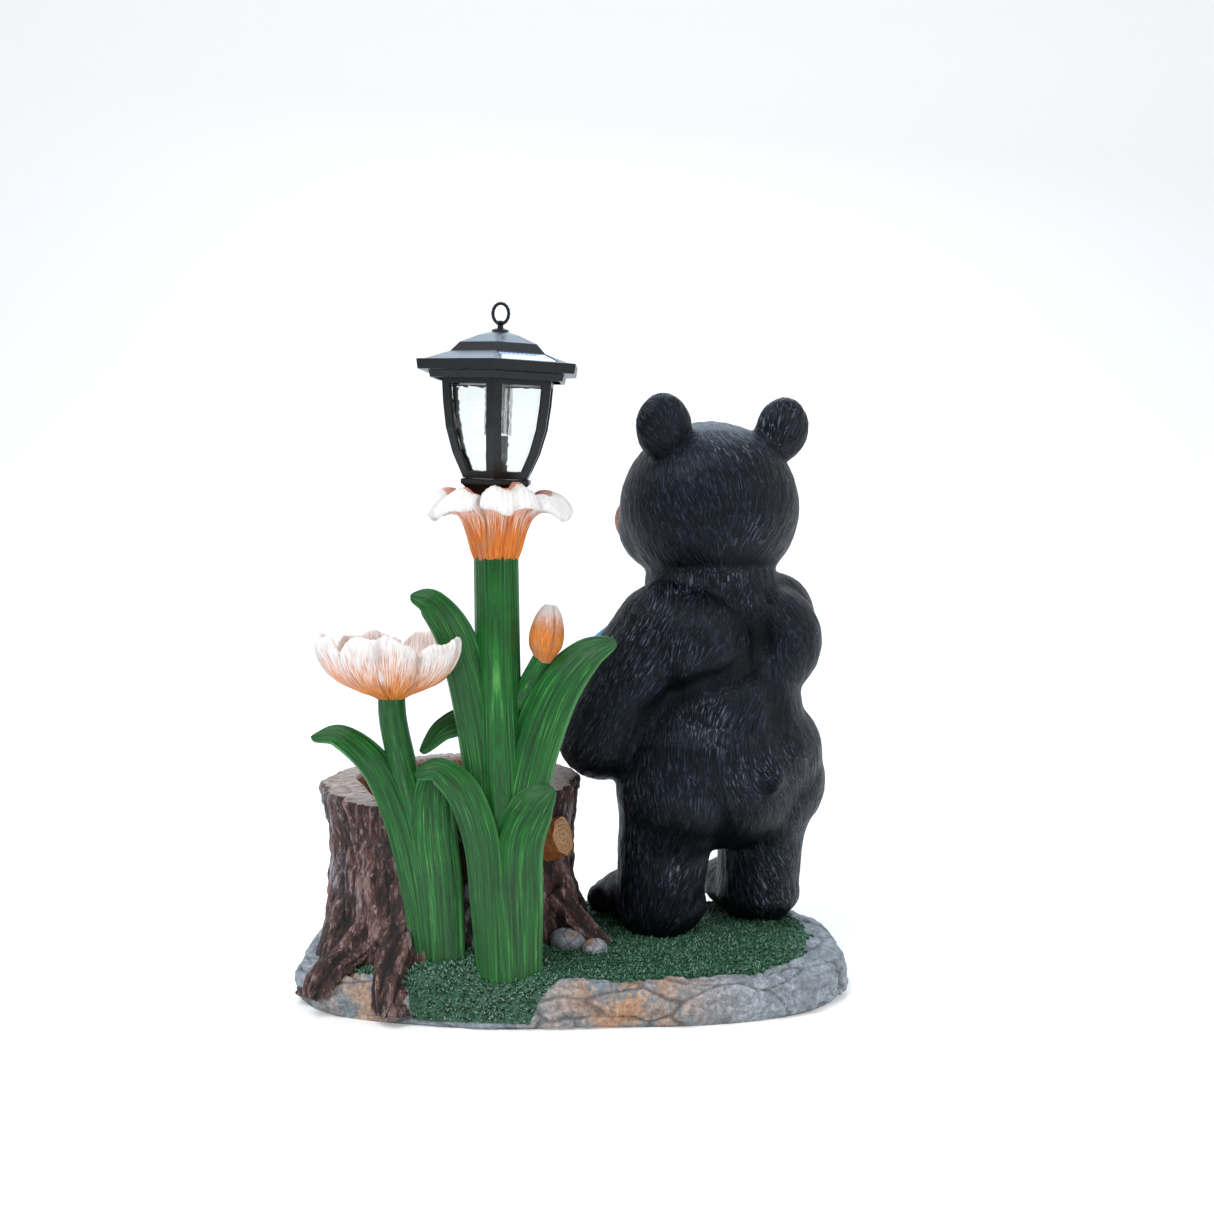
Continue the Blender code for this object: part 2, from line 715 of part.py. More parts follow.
def add_feet(bm):
    (x, y, z), radii = FOOT
    for side in (-1, 1):
        add_ellipsoid(bm, (side * x, y, z), radii, (0, 0, -side * FOOT_SPLAY))
        for k in range(TOE_COUNT):
            spread = (k - (TOE_COUNT - 1) / 2) * 3.4
            angle = math.radians(90 - side * FOOT_SPLAY)
            ahead = Vector((math.cos(angle), math.sin(angle), 0)) * (10.6 - 0.35 * spread**2 / 3.4)
            across = Vector((math.sin(angle), -math.cos(angle), 0)) * spread
            centre = Vector((side * x, y, 3.9)) + ahead + across
            add_ellipsoid(bm, centre, (1.9, 3.0, 2.9), (0, 0, -side * FOOT_SPLAY), 10)


def make_bear():
    """Blocks the bear out in lobes and limbs, then draws one smooth skin over them."""
    bm = bmesh.new()
    for (x, y, z), radii, turn in BEAR_LOBES.values():
        add_ellipsoid(bm, (x, y, z), radii, turn, 24)
        if x > 2:
            add_ellipsoid(bm, (-x, y, z), radii, (turn[0], -turn[1], -turn[2]), 24)
    for joints in BEAR_LIMBS.values():
        add_limb(bm, joints)
    add_feet(bm)
    bm.transform(bear_frame())
    bear = object_from(bm, "bear")
    skin = bear.modifiers.new("skin", "REMESH")
    skin.mode = "VOXEL"
    skin.voxel_size = BEAR_SKIN
    blend = bear.modifiers.new("blend", "SMOOTH")
    blend.iterations = BEAR_SMOOTHING
    fewer = bear.modifiers.new("fewer", "DECIMATE")
    fewer.ratio = BEAR_TRIANGLE_SHARE
    return bake(bear)


# Watering can


def in_can(x, y, z):
    """A point given in shares of the can's radius, radius and height, at its place."""
    point = Vector((x * CAN_RADIUS, y * CAN_RADIUS, z * CAN_HEIGHT))
    return bear_frame() @ CAN_PLACE + Matrix.Rotation(CAN_TILT, 3, "Y") @ point


def can_rings(profile):
    """Rings round the can's axis, from (height, radius) in shares of its own."""
    angles = [math.tau * i / CAN_STEPS for i in range(CAN_STEPS)]
    return [[in_can(r * math.cos(a), r * math.sin(a), h) for a in angles] for h, r in profile]


def make_can():
    """The open body, the spout with its rose, and the handle."""
    profile = ((-0.5, 0.98), (-0.43, 1.04), (0.36, 0.88), (0.43, 0.94), (0.5, 0.94))
    body = loft("can", can_rings(profile))
    mouth = loft("mouth", can_rings(((0.22, 0.74), (0.56, 0.80))))
    spout = [in_can(-0.70, 0, -0.30), in_can(-1.30, -0.14, 0.02), in_can(-1.75, -0.28, 0.32)]
    spout += [in_can(-1.95, -0.33, 0.46)]
    flare = [SPOUT_RADIUS * k for k in (1.45, 1.1, 0.95, 1.8)]
    handle = [in_can(0.70, 0, 0.30), in_can(1.30, 0, 0.34), in_can(1.72, 0, 0.16)]
    handle += [in_can(1.66, 0, -0.14), in_can(1.24, 0, -0.34), in_can(0.80, 0, -0.40)]
    return [
        combine(body, [mouth], "DIFFERENCE"),
        loft("spout", tube_rings(spout, flare, 10)),
        loft("handle", tube_rings(handle, [HANDLE_RADIUS] * len(handle), 8)),
    ]


# Lantern


def lantern_frame():
    """Stands the lantern's own axes on the flower's seat, with its slight lean."""
    stem_top = MAIN_ROOT + Vector(MAIN_STEM[-1]).to_2d()
    place = Matrix.Translation(stem_top.to_3d() + Vector((0, 0, SEAT_HEIGHT)))
    return place @ Matrix.Rotation(LANTERN_LEAN, 4, "Y") @ Matrix.Rotation(LANTERN_NOD, 4, "X")


def hexagon(radius, z, centre=(0.0, 0.0)):
    """A level six-sided ring with one corner towards -Y."""
    return circle((*centre, z), radius, 6, -0.5 * math.pi)


def body_radius(share):
    """Corner radius of the lantern's body: narrow at the foot, with a soft bulge."""
    straight = LANTERN_FOOT_RADIUS + (LANTERN_RADIUS - LANTERN_FOOT_RADIUS) * share
    return straight + 0.15 * LANTERN_RADIUS * math.sin(math.pi * share) * (1 - 0.45 * share)


def body_z(share):
    return CUP_HEIGHT + LANTERN_BODY_HEIGHT * share


def placed(rings):
    frame = lantern_frame()
    return [[frame @ p for p in ring] for ring in rings]


def make_sleeve(name, outside, inside, finish, crease=25):
    """A wall between two stacks of rings, open at the top and at the bottom."""
    bm = bmesh.new()
    rings = [[bm.verts.new(p) for p in ring] for ring in placed([*outside, *reversed(inside)])]
    count = len(rings[0])
    for low, high in zip(rings, rings[1:] + rings[:1]):
        for i in range(count):
            j = (i + 1) % count
            bm.faces.new((low[i], low[j], high[j], high[i]))
    return object_from(bm, name, finish, crease)


BODY_SHARES = (0.0, 0.25, 0.5, 0.75, 1.0)


def make_window(side):
    """The cutter for one window, which keeps the same border along both posts."""
    rings = []
    low = WINDOW_MARGIN / LANTERN_BODY_HEIGHT
    middle = -0.5 * math.pi + (side + 0.5) * math.tau / 6
    out = Vector((math.cos(middle), math.sin(middle), 0))
    across = Vector((-out.y, out.x, 0))
    for k in range(5):
        share = low + (1 - 2 * low) * k / 4
        radius = body_radius(share)
        half = 0.5 * radius - WINDOW_BORDER
        near, far = 0.45 * radius, 1.3 * radius
        rings.append(
            [
                out * reach + across * x + Vector((0, 0, body_z(share)))
                for x, reach in ((-half, near), (half, near), (half, far), (-half, far))
            ]
        )
    return loft(f"window_{side}", placed(rings))


def make_lantern():
    flat = math.cos(math.pi / 6)
    outside = [hexagon(body_radius(s), body_z(s)) for s in BODY_SHARES]
    inside = [hexagon(body_radius(s) - FRAME_WALL / flat, body_z(s)) for s in BODY_SHARES]
    frame = make_sleeve("lantern_frame", outside, inside, "black_plastic")
    combine(frame, [make_window(side) for side in range(6)], "DIFFERENCE")

    step_in = (FRAME_WALL + FIT_GAP) / flat
    shares = (0.02, 0.25, 0.5, 0.75, 0.92)
    outer = [hexagon(body_radius(s) - step_in, body_z(s)) for s in shares]
    inner = [hexagon(body_radius(s) - step_in - LINER_WALL / flat, body_z(s)) for s in shares]
    make_sleeve("lantern_liner", outer, inner, "clear_plastic")

    cup = [
        hexagon(0.58 * CUP_RADIUS, 0.0),
        hexagon(0.62 * CUP_RADIUS, 0.36 * CUP_HEIGHT),
        hexagon(0.95 * CUP_RADIUS, 0.76 * CUP_HEIGHT),
        hexagon(CUP_RADIUS, 0.80 * CUP_HEIGHT),
        hexagon(CUP_RADIUS, 0.95 * CUP_HEIGHT),
        hexagon(0.96 * CUP_RADIUS, CUP_HEIGHT - FIT_GAP),
    ]
    cup = loft("lantern_cup", placed(cup), "black_plastic", 25)
    spigot = [circle((0, 0, z), SPIGOT_RADIUS, 18) for z in (-SPIGOT_LENGTH, 0.004)]
    combine(cup, [loft("spigot", placed(spigot))], "UNION")

    make_roof()
    make_light(body_z(1.0))


def roof_profile():
    """(radius, height) up the roof's outer side, from the drip edge to the collar."""
    top = body_z(1.0)
    step = top - 0.0010 + STEP_HEIGHT
    eave = step + FASCIA_HEIGHT
    return (
        (0.835 * ROOF_RADIUS, top - 0.0010),
        (0.855 * ROOF_RADIUS, step),
        (0.985 * ROOF_RADIUS, step + 0.0006),
        (ROOF_RADIUS, eave),
        (0.890 * ROOF_RADIUS, eave + 0.0006),
        (0.600 * ROOF_RADIUS, eave + 0.31 * ROOF_RISE),
        (0.490 * ROOF_RADIUS, eave + 0.61 * ROOF_RISE),
        (0.265 * ROOF_RADIUS, eave + 0.87 * ROOF_RISE),
        (0.105 * ROOF_RADIUS, eave + ROOF_RISE),
    )


def panel_corners(lift):
    """The solar panel's four corners on the roof's right-hand near facet."""
    (r0, z0), (r1, z1) = roof_profile()[4:6]
    middle = -0.5 * math.pi + math.pi / 6
    out = Vector((math.cos(middle), math.sin(middle), 0))
    across = Vector((-out.y, out.x, 0))
    flat = math.cos(math.pi / 6)
    low = out * r0 * flat + Vector((0, 0, z0))
    high = out * r1 * flat + Vector((0, 0, z1))
    slope = (high - low).normalized()
    normal = across.cross(slope).normalized()
    low, high = low + slope * 0.0008, high - slope * 0.0004
    half_low, half_high = 0.5 * r0 - 0.0050, 0.5 * r1 - 0.0006
    lower = [low - across * half_low, low + across * half_low]
    upper = [high + across * half_high, high - across * half_high]
    return [corner + normal * lift for corner in lower + upper]


def make_roof():
    """The tiered roof, hollow below, with a shallow recess for the solar panel."""
    profile = roof_profile()
    outside = [hexagon(r, z) for r, z in profile]
    wall = ROOF_WALL
    inside = [
        hexagon(profile[0][0] - wall, profile[0][1]),
        hexagon(profile[1][0] - wall, profile[3][1] - wall),
        hexagon(profile[5][0] - wall, profile[5][1] - wall),
        hexagon(profile[6][0] - wall, profile[6][1] - wall),
        hexagon(profile[7][0] - wall, profile[7][1] - wall),
    ]
    rings = placed([*reversed(inside), *outside])
    roof = loft("lantern_roof", rings, "black_plastic", 25)
    recess = [panel_corners(-PANEL_THICKNESS - FIT_GAP), panel_corners(0.004)]
    combine(roof, [loft("recess", placed(recess))], "DIFFERENCE")
    panel = []
    for lift in (-PANEL_THICKNESS, -0.0003):
        corners = panel_corners(lift)
        middle = sum(corners, Vector()) / 4
        panel.append([p + (middle - p).normalized() * 2 * FIT_GAP for p in corners])
    loft("solar_panel", placed(panel), "solar_cell", 25)
    make_ring(profile[-1][1])


def make_ring(z):
    """The hanging ring on its collar and knob, screwed to the roof."""
    z += FIT_GAP
    collar = [circle((0, 0, z + height), radius, 14) for height, radius in COLLAR]
    ring = loft("hanging_ring", placed(collar), "black_plastic", 35)
    bm = bmesh.new()
    frame = lantern_frame()
    middle = Vector((0, 0, z + 0.0044 + RING_RADIUS_Z))
    loops = []
    for i in range(RING_STEPS):
        a = math.tau * i / RING_STEPS
        spoke = Vector((math.sin(a), 0, math.cos(a)))
        centre = middle + Vector((RING_RADIUS_X * spoke.x, 0, RING_RADIUS_Z * spoke.z))
        loop = []
        for k in range(WIRE_STEPS):
            b = math.tau * k / WIRE_STEPS
            loop.append(centre + RING_WIRE * (spoke * math.cos(b) + Vector((0, math.sin(b), 0))))
        loops.append([bm.verts.new(frame @ p) for p in loop])
    for low, high in zip(loops, loops[1:] + loops[:1]):
        for k in range(WIRE_STEPS):
            j = (k + 1) % WIRE_STEPS
            bm.faces.new((low[k], low[j], high[j], high[k]))
    combine(ring, [object_from(bm, "wire", "black_plastic")], "UNION")


def make_light(top):
    """The light's housing under the roof, and the clear tube that hangs from it."""
    low = top - HOUSING_HEIGHT + 0.0030
    housing = [hexagon(HOUSING_RADIUS, low), hexagon(HOUSING_RADIUS, top + 0.0030)]
    loft("light_housing", placed(housing), "black_plastic", 25)
    z = low - FIT_GAP
    inside = TUBE_RADIUS - TUBE_WALL
    tube = [
        circle((0, 0, z - TUBE_LENGTH + TUBE_WALL), inside, 20),
        circle((0, 0, z), inside, 20),
        circle((0, 0, z), TUBE_RADIUS, 20),
        circle((0, 0, z - TUBE_LENGTH), TUBE_RADIUS, 20),
    ]
    loft("light_tube", placed(tube), "clear_plastic")


def cut_for_lantern(statue):
    """Opens the flower's floor for the lantern's foot and spigot."""
    seat = [hexagon(0.60 * CUP_RADIUS + FIT_GAP, -FIT_GAP), hexagon(1.25 * CUP_RADIUS, 0.0120)]
    socket = [circle((0, 0, z), SPIGOT_RADIUS + FIT_GAP, 18) for z in (-SOCKET_DEPTH, 0.004)]
    cutters = [loft("seat", placed(seat)), loft("socket", placed(socket))]
    return combine(statue, cutters, "DIFFERENCE", "MANIFOLD")


def main():
    clear_scene()
    statue = make_base()
    pebbles = [make_pebble(i, *pebble) for i, pebble in enumerate(PEBBLES)]
    combine(statue, [make_stump(), make_knot(), *pebbles], "UNION")
    combine(statue, [make_hollow()], "DIFFERENCE")
    # The default solver leaves edges shared by four faces where leaves and paws cross
    combine(statue, make_plants(), "UNION", "MANIFOLD")
    combine(statue, [make_bear(), *make_can()], "UNION", "MANIFOLD")
    cut_for_lantern(statue)
    make_lantern()


main()
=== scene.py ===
"""Looks of a painted resin garden statue: a bear with a watering can, a stump planter, flowers
and a solar lantern. Metres, +Z up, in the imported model's own frame."""

import json
import math

import bmesh
import bpy
import numpy as np
from mathutils import Euler, Matrix, Vector

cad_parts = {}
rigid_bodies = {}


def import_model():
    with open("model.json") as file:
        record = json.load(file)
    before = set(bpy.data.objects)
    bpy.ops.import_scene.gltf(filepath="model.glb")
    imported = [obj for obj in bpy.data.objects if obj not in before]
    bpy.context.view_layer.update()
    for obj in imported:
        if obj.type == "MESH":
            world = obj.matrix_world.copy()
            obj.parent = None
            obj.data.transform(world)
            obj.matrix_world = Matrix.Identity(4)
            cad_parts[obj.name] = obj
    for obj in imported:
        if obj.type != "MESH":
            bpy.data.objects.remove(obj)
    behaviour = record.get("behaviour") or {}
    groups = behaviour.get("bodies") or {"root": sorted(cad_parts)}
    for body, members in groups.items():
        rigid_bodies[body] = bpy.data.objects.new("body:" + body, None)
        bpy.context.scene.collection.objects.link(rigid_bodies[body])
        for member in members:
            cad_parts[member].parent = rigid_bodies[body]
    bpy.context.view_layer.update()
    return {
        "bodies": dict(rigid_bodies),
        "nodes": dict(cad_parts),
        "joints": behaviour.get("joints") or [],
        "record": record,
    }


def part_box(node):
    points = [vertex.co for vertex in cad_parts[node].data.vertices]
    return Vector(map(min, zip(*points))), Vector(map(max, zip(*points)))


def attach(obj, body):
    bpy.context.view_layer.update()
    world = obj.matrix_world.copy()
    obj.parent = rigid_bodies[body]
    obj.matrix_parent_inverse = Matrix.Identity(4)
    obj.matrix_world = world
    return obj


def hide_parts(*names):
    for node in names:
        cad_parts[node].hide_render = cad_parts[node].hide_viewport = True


TAU = math.tau
# The tables of flowers, leaves, stems and roots are written in tenths of a millimetre
TENTHS = 10000

# Base
BASE_LENGTH = 0.3555
BASE_DEPTH = 0.200
BASE_SQUARENESS = 3.1
RIM_HEIGHT = 0.0255
GROUND_RISE = 0.0030
GROUND = RIM_HEIGHT + GROUND_RISE
MOUND_ANGLE = math.radians(-117)
MOUND_SPREAD = math.radians(18)
BASE_COLUMNS = 640
RIM_ROWS = 44
TOP_ROWS = 52
STONE_WIDTH = 0.062
STONE_COURSE = 0.0235
STONE_CHIP = 0.019
CRACK_DEPTH = 0.0015
TURF_INSET = 0.0085
TURF_INSET_MORE_RIGHT = 0.0105
TURF_INSET_MORE_LEFT = 0.006
TURF_HEAP = 0.0100
TURF_HEAP_RADIUS = 0.028
BLADES = 15000
BLADE_HEIGHT = 0.0026
BLADE_WIDTH = 0.00090

# Stump
STUMP_CENTRE = np.array((-0.221 * BASE_LENGTH, 0.040 * BASE_DEPTH))
STUMP_HEIGHT = 0.129
STUMP_RADIUS = 0.0790
STUMP_FLARE = 0.004
BARK_DEPTH = 0.0030
BARK_FURROWS = 13
HOLLOW_RADIUS = 0.78 * STUMP_RADIUS
HOLLOW_FLOOR_RADIUS = 0.66 * STUMP_RADIUS
HOLLOW_FLOOR = 0.034
HOLLOW_OFFSET = np.array((0.000, 0.003))
ROOT_REACH = 0.019
ROOT_ANGLES = (-143, -104, -16, 28, 84, 140)
ROOT_SPREAD = math.radians(11)
STUMP_COLUMNS = 620
BARK_ROWS = 104
CUT_ROWS = 15
WALL_ROWS = 25
FLOOR_ROWS = 8
ROOT_GIRTH = 0.011
ROOT_ROWS = 70
ROOT_COLUMNS = 90
KNOT_SIDE_ROWS = 30
KNOT_FACE_ROWS = 16
KNOT_COLUMNS = 96
KNOT_ANGLE = math.radians(-25)
KNOT_HEIGHT = 0.75 * STUMP_HEIGHT
KNOT_RADIUS = 0.0122
KNOT_SUNK = 0.008
KNOT_RISE = 0.28
KNOT_STAND = 0.0085

# Pebbles: centre in shares of the base's length and depth, radius, flatness
PEBBLES = ((-0.0015, -0.170, 0.0118, 0.72), (0.0465, -0.225, 0.0082, 0.80))

# Plants
MAIN_ROOT = Vector((-0.0956 * BASE_LENGTH, -0.355 * BASE_DEPTH))
SIDE_ROOT = Vector((-0.2166 * BASE_LENGTH, -0.350 * BASE_DEPTH))
ROOT_SINK = 0.014
STEM_RADIUS = 0.0132
SIDE_STEM_RADIUS = 0.0080
BUD_STEM_RADIUS = 0.0052
LEAF_THICKNESS = 0.0054
LEAF_FOLD = 0.22
LEAF_ROWS = 110
LEAF_COLUMNS = 52
STEM_ROWS = 90
STEM_COLUMNS = 96

# Flowers
PETAL_COUNT = 5
FLOWER_COLUMNS = 360
FLOWER_ROWS = 84
FLOWER_FOOT_HEIGHT = 0.2754
TRUMPET_TURN = math.radians(-4)
TRUMPET = (
    # height and radius of a petal's middle, then of a groove, round the wall from foot to floor
    (0, 132, 0, 130),
    (65, 158, 65, 152),
    (164, 187, 164, 172),
    (252, 228, 250, 196),
    (302, 300, 300, 218),
    (305, 380, 330, 232),
    (268, 440, 344, 244),
    (308, 452, 352, 250),
    (385, 398, 366, 243),
    (424, 318, 372, 230),
    (412, 245, 352, 212),
    (330, 196, 322, 188),
    (308, 150, 308, 150),
)
BOWL_FOOT_HEIGHT = 0.1925
BOWL_TURN = math.radians(20)
BOWL = (
    (0, 80, 0, 80),
    (22, 120, 22, 115),
    (55, 205, 52, 190),
    (105, 300, 98, 275),
    (180, 378, 158, 340),
    (270, 428, 222, 376),
    (345, 444, 262, 388),
    (385, 428, 276, 380),
    (365, 396, 262, 358),
    (250, 378, 212, 336),
    (150, 318, 140, 288),
    (90, 200, 90, 190),
)
BUD_LENGTH = 0.0310
BUD_RADIUS = 0.0105
BUD_ROWS = 60
BUD_COLUMNS = 120

# Bear: hundredths of its height
BEAR_HEIGHT = 0.352
BEAR_PLACE = Vector((0.273 * BASE_LENGTH, 0.10 * BASE_DEPTH))
BEAR_TURN = math.radians(28)
BEAR_SKIN = 0.0017
BEAR_SMOOTHING = 20
BALL_STEPS = 40
TOE_STEPS = 20
LIMB_STEPS = 48
# width and length of a lock and of a fine stroke of fur
LOCKS = (0.0034, 0.016)
STROKES = (0.0017, 0.009)

# Watering can
CAN_PLACE = Vector((-6.9, 28.4, 45.0))
CAN_TILT = math.radians(-40)
CAN_RADIUS = 0.092 * BEAR_HEIGHT
CAN_HEIGHT = 0.165 * BEAR_HEIGHT
CAN_ROWS = 130
CAN_COLUMNS = 96
SPOUT_RADIUS = 0.0052
SPOUT_ROWS = 60
SPOUT_COLUMNS = 64
HANDLE_RADIUS = 0.0034
HANDLE_ROWS = 70
HANDLE_COLUMNS = 48

# Lamp in the lantern: shares of its height, and the radius there
LAMP_ROWS = 40
LAMP_COLUMNS = 32
LAMP_SHARES = (0, 0.06, 0.3, 0.34, 1.0)
LAMP_RADII = (0.0006, 0.0022, 0.0025, 0.0034, 0.0036)
LAMP_ABOVE_TUBE_END = 0.010

# Camera of the photograph, whose frame is square
PHOTO_WIDTH = 1214
FOCAL_PIXELS = 1456
SENSOR = 36.0
CAMERA_PLACE = (0.024, -0.937, 0.310)
CAMERA_PITCH = math.radians(4.12)

# Floor, which bends up into a backdrop
FLOOR_FRONT = 5.0
FLOOR_BACK = 1.6
FLOOR_BEND = 1.5
FLOOR_HEIGHT = 5.0
FLOOR_GLOW = 0.22
WORLD_COLOUR = (0.95, 0.97, 1.0, 1.0)
WORLD_STRENGTH = 0.62
LIGHT_TARGET = (0, 0, 0.2)
LIGHTS = (
    # name, place, size, power, colour
    ("key", (-0.8, -0.9, 1.9), 1.1, 30.0, (0.90, 0.95, 1.0)),
    ("sky", (0.2, 1.7, 2.4), 2.0, 42.0, (0.62, 0.81, 1.0)),
    ("side", (1.4, -0.7, 0.9), 0.8, 6.0, (1.0, 0.97, 0.93)),
)


# Noise


def lattice(cell, seed):
    """A repeatable random number from 0 to 1 for each whole-number point."""
    x, y, z = (cell[..., k].astype(np.int64) for k in range(3))
    h = (x * 374761393 + y * 668265263 + z * 1442695041 + seed * 974634777) & 0xFFFFFFFF
    h = ((h ^ (h >> 13)) * 1274126177) & 0xFFFFFFFF
    return ((h ^ (h >> 16)) & 0xFFFF) / 65535.0


def noise(points, size, seed=0):
    """Smooth noise from 0 to 1 with lumps of a size, or of a size along each axis."""
    p = points / np.asarray(size)
    cell = np.floor(p)
    f = p - cell
    f = f * f * (3 - 2 * f)
    total = 0.0
    for corner in np.ndindex(2, 2, 2):
        weight = 1.0
        for k in range(3):
            weight = weight * (f[..., k] if corner[k] else 1 - f[..., k])
        total = total + weight * lattice(cell + np.array(corner), seed)
    return total


def layered(points, size, seed=0, layers=3):
    """Noise from 0 to 1 with finer noise laid over it."""
    total, reach = 0.0, 0.0
    for k in range(layers):
        total = total + noise(points, np.asarray(size) / 2**k, seed + k) / 2**k
        reach += 1 / 2**k
    return total / reach


def cells(points, seed=0):
    """Distances to the two nearest scattered points, and the nearest one's random number."""
    base = np.floor(points)
    near = np.full(points.shape[:-1], 9.0)
    second = near.copy()
    mark = np.zeros_like(near)
    for step in np.ndindex(3, 3, 3):
        cell = base + np.array(step) - 1
        spot = cell + np.stack([lattice(cell, seed + k) for k in (1, 2, 3)], -1)
        distance = np.linalg.norm(points - spot, axis=-1)
        closer = distance < near
        second = np.where(closer, near, np.minimum(second, distance))
        near = np.where(closer, distance, near)
        mark = np.where(closer, lattice(cell, seed + 4), mark)
    return near, second, mark


def smoothstep(value, low, high):
    t = np.clip((value - low) / (high - low), 0, 1)
    return t * t * (3 - 2 * t)


def bump(angle, other, spread):
    gap = np.abs((angle - other + math.pi) % TAU - math.pi)
    return peak(gap, spread)


def peak(value, width):
    """1 where the value is 0, and falling to nothing within about twice the width."""
    return np.exp(-((value / width) ** 2))


def full_turn(columns):
    """The angles of a ring's points, in one row."""
    return np.linspace(0, TAU, columns, endpoint=False)[None, :]


def ball_grid(rows, columns):
    """Rings of a ball with a radius of 1, without its poles."""
    turn = full_turn(columns)
    climb = np.linspace(-0.5, 0.5, rows)[1:-1, None] * math.pi
    rings = [np.cos(climb) * np.cos(turn), np.cos(climb) * np.sin(turn), np.sin(climb) + 0 * turn]
    return np.stack(rings, -1)


def through(rows, count):
    """Stations along a Catmull-Rom curve through a table's rows."""
    rows = np.asarray(rows, float)
    ends = np.vstack([2 * rows[0] - rows[1], rows, 2 * rows[-1] - rows[-2]])
    where = np.linspace(0, len(rows) - 1, count)
    k = np.minimum(where.astype(int), len(rows) - 2)
    t = (where - k)[:, None]
    a, b, c, d = ends[k], ends[k + 1], ends[k + 2], ends[k + 3]
    curve = 2 * b + (c - a) * t + (2 * a - 5 * b + 4 * c - d) * t**2
    return 0.5 * (curve + (3 * b - a - 3 * c + d) * t**3)


# Meshes


def unit(vectors):
    return vectors / np.maximum(np.linalg.norm(vectors, axis=-1, keepdims=True), 1e-9)


def grid_normals(grid):
    """Outward normals of rows of rings that run anticlockwise and climb."""
    around = np.roll(grid, -1, 1) - np.roll(grid, 1, 1)
    return unit(np.cross(around, np.gradient(grid, axis=0)))


def put_values(mesh, values):
    """Stores numbers, vectors or colours on a mesh's points."""
    for name, data in values.items():
        data = np.asarray(data, np.float32)
        if data.ndim == 1:
            mesh.attributes.new(name, "FLOAT", "POINT").data.foreach_set("value", data)
        else:
            store = mesh.attributes.new(name, "FLOAT_VECTOR", "POINT")
            store.data.foreach_set("vector", data.ravel())


def new_object(name, data):
    obj = bpy.data.objects.new(name, data)
    bpy.context.scene.collection.objects.link(obj)
    return obj


def piece(name, mesh, finish):
    """A finished piece that takes the statue's place in the picture."""
    obj = new_object(name, mesh)
    mesh.materials.clear()
    mesh.materials.append(finish)
    mesh.shade_smooth()
    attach(obj, "root")
    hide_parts("statue")


def grid_piece(name, grid, finish, **values):
    """A piece from rows of rings, closed at both ends, with values spread over its points."""
    rows, columns = grid.shape[:2]
    r = np.arange(rows - 1)[:, None] * columns
    c = np.arange(columns)[None, :]
    n = (c + 1) % columns
    quads = np.stack([r + c, r + n, r + columns + n, r + columns + c], -1).reshape(-1, 4)
    first, last = rows * columns, rows * columns + 1
    c, n = c[0], n[0]
    low = np.stack([n, c, np.full(columns, first)], -1)
    top = (rows - 1) * columns
    high = np.stack([top + c, top + n, np.full(columns, last)], -1)
    points = np.vstack([grid.reshape(-1, 3), grid[0].mean(0), grid[-1].mean(0)])
    mesh = bpy.data.meshes.new(name)
    mesh.from_pydata(points.tolist(), [], quads.tolist() + low.tolist() + high.tolist())
    whole = {}
    for key, data in values.items():
        spread = np.broadcast_to(data, (rows, columns))
        whole[key] = np.concatenate([spread.ravel(), (spread[0].mean(), spread[-1].mean())])
    put_values(mesh, whole)
    piece(name, mesh, finish)


def tube_grid(line, radii, columns):
    """Rings square to a line of points."""
    line = np.asarray(line)
    tangents = unit(np.gradient(line, axis=0))
    turn = full_turn(columns)[0]
    rings = []
    side = np.cross(tangents[0], (0.0, 1.0, 0.0))
    if np.linalg.norm(side) < 0.2:
        side = np.array((1.0, 0.0, 0.0))
    for point, tangent, radius in zip(line, tangents, radii):
        side = unit(side - tangent * side.dot(tangent))
        other = np.cross(tangent, side)
        spokes = np.cos(turn)[:, None] * side + np.sin(turn)[:, None] * other
        rings.append(point + radius * spokes)
    return np.array(rings)


# Finishes


def rgb(red, green, blue):
    """A colour as seen on screen, from 0 to 255, in the shader's own terms."""
    shares = [v / 255 for v in (red, green, blue)]
    return tuple(v / 12.92 if v <= 0.04045 else ((v + 0.055) / 1.055) ** 2.4 for v in shares)


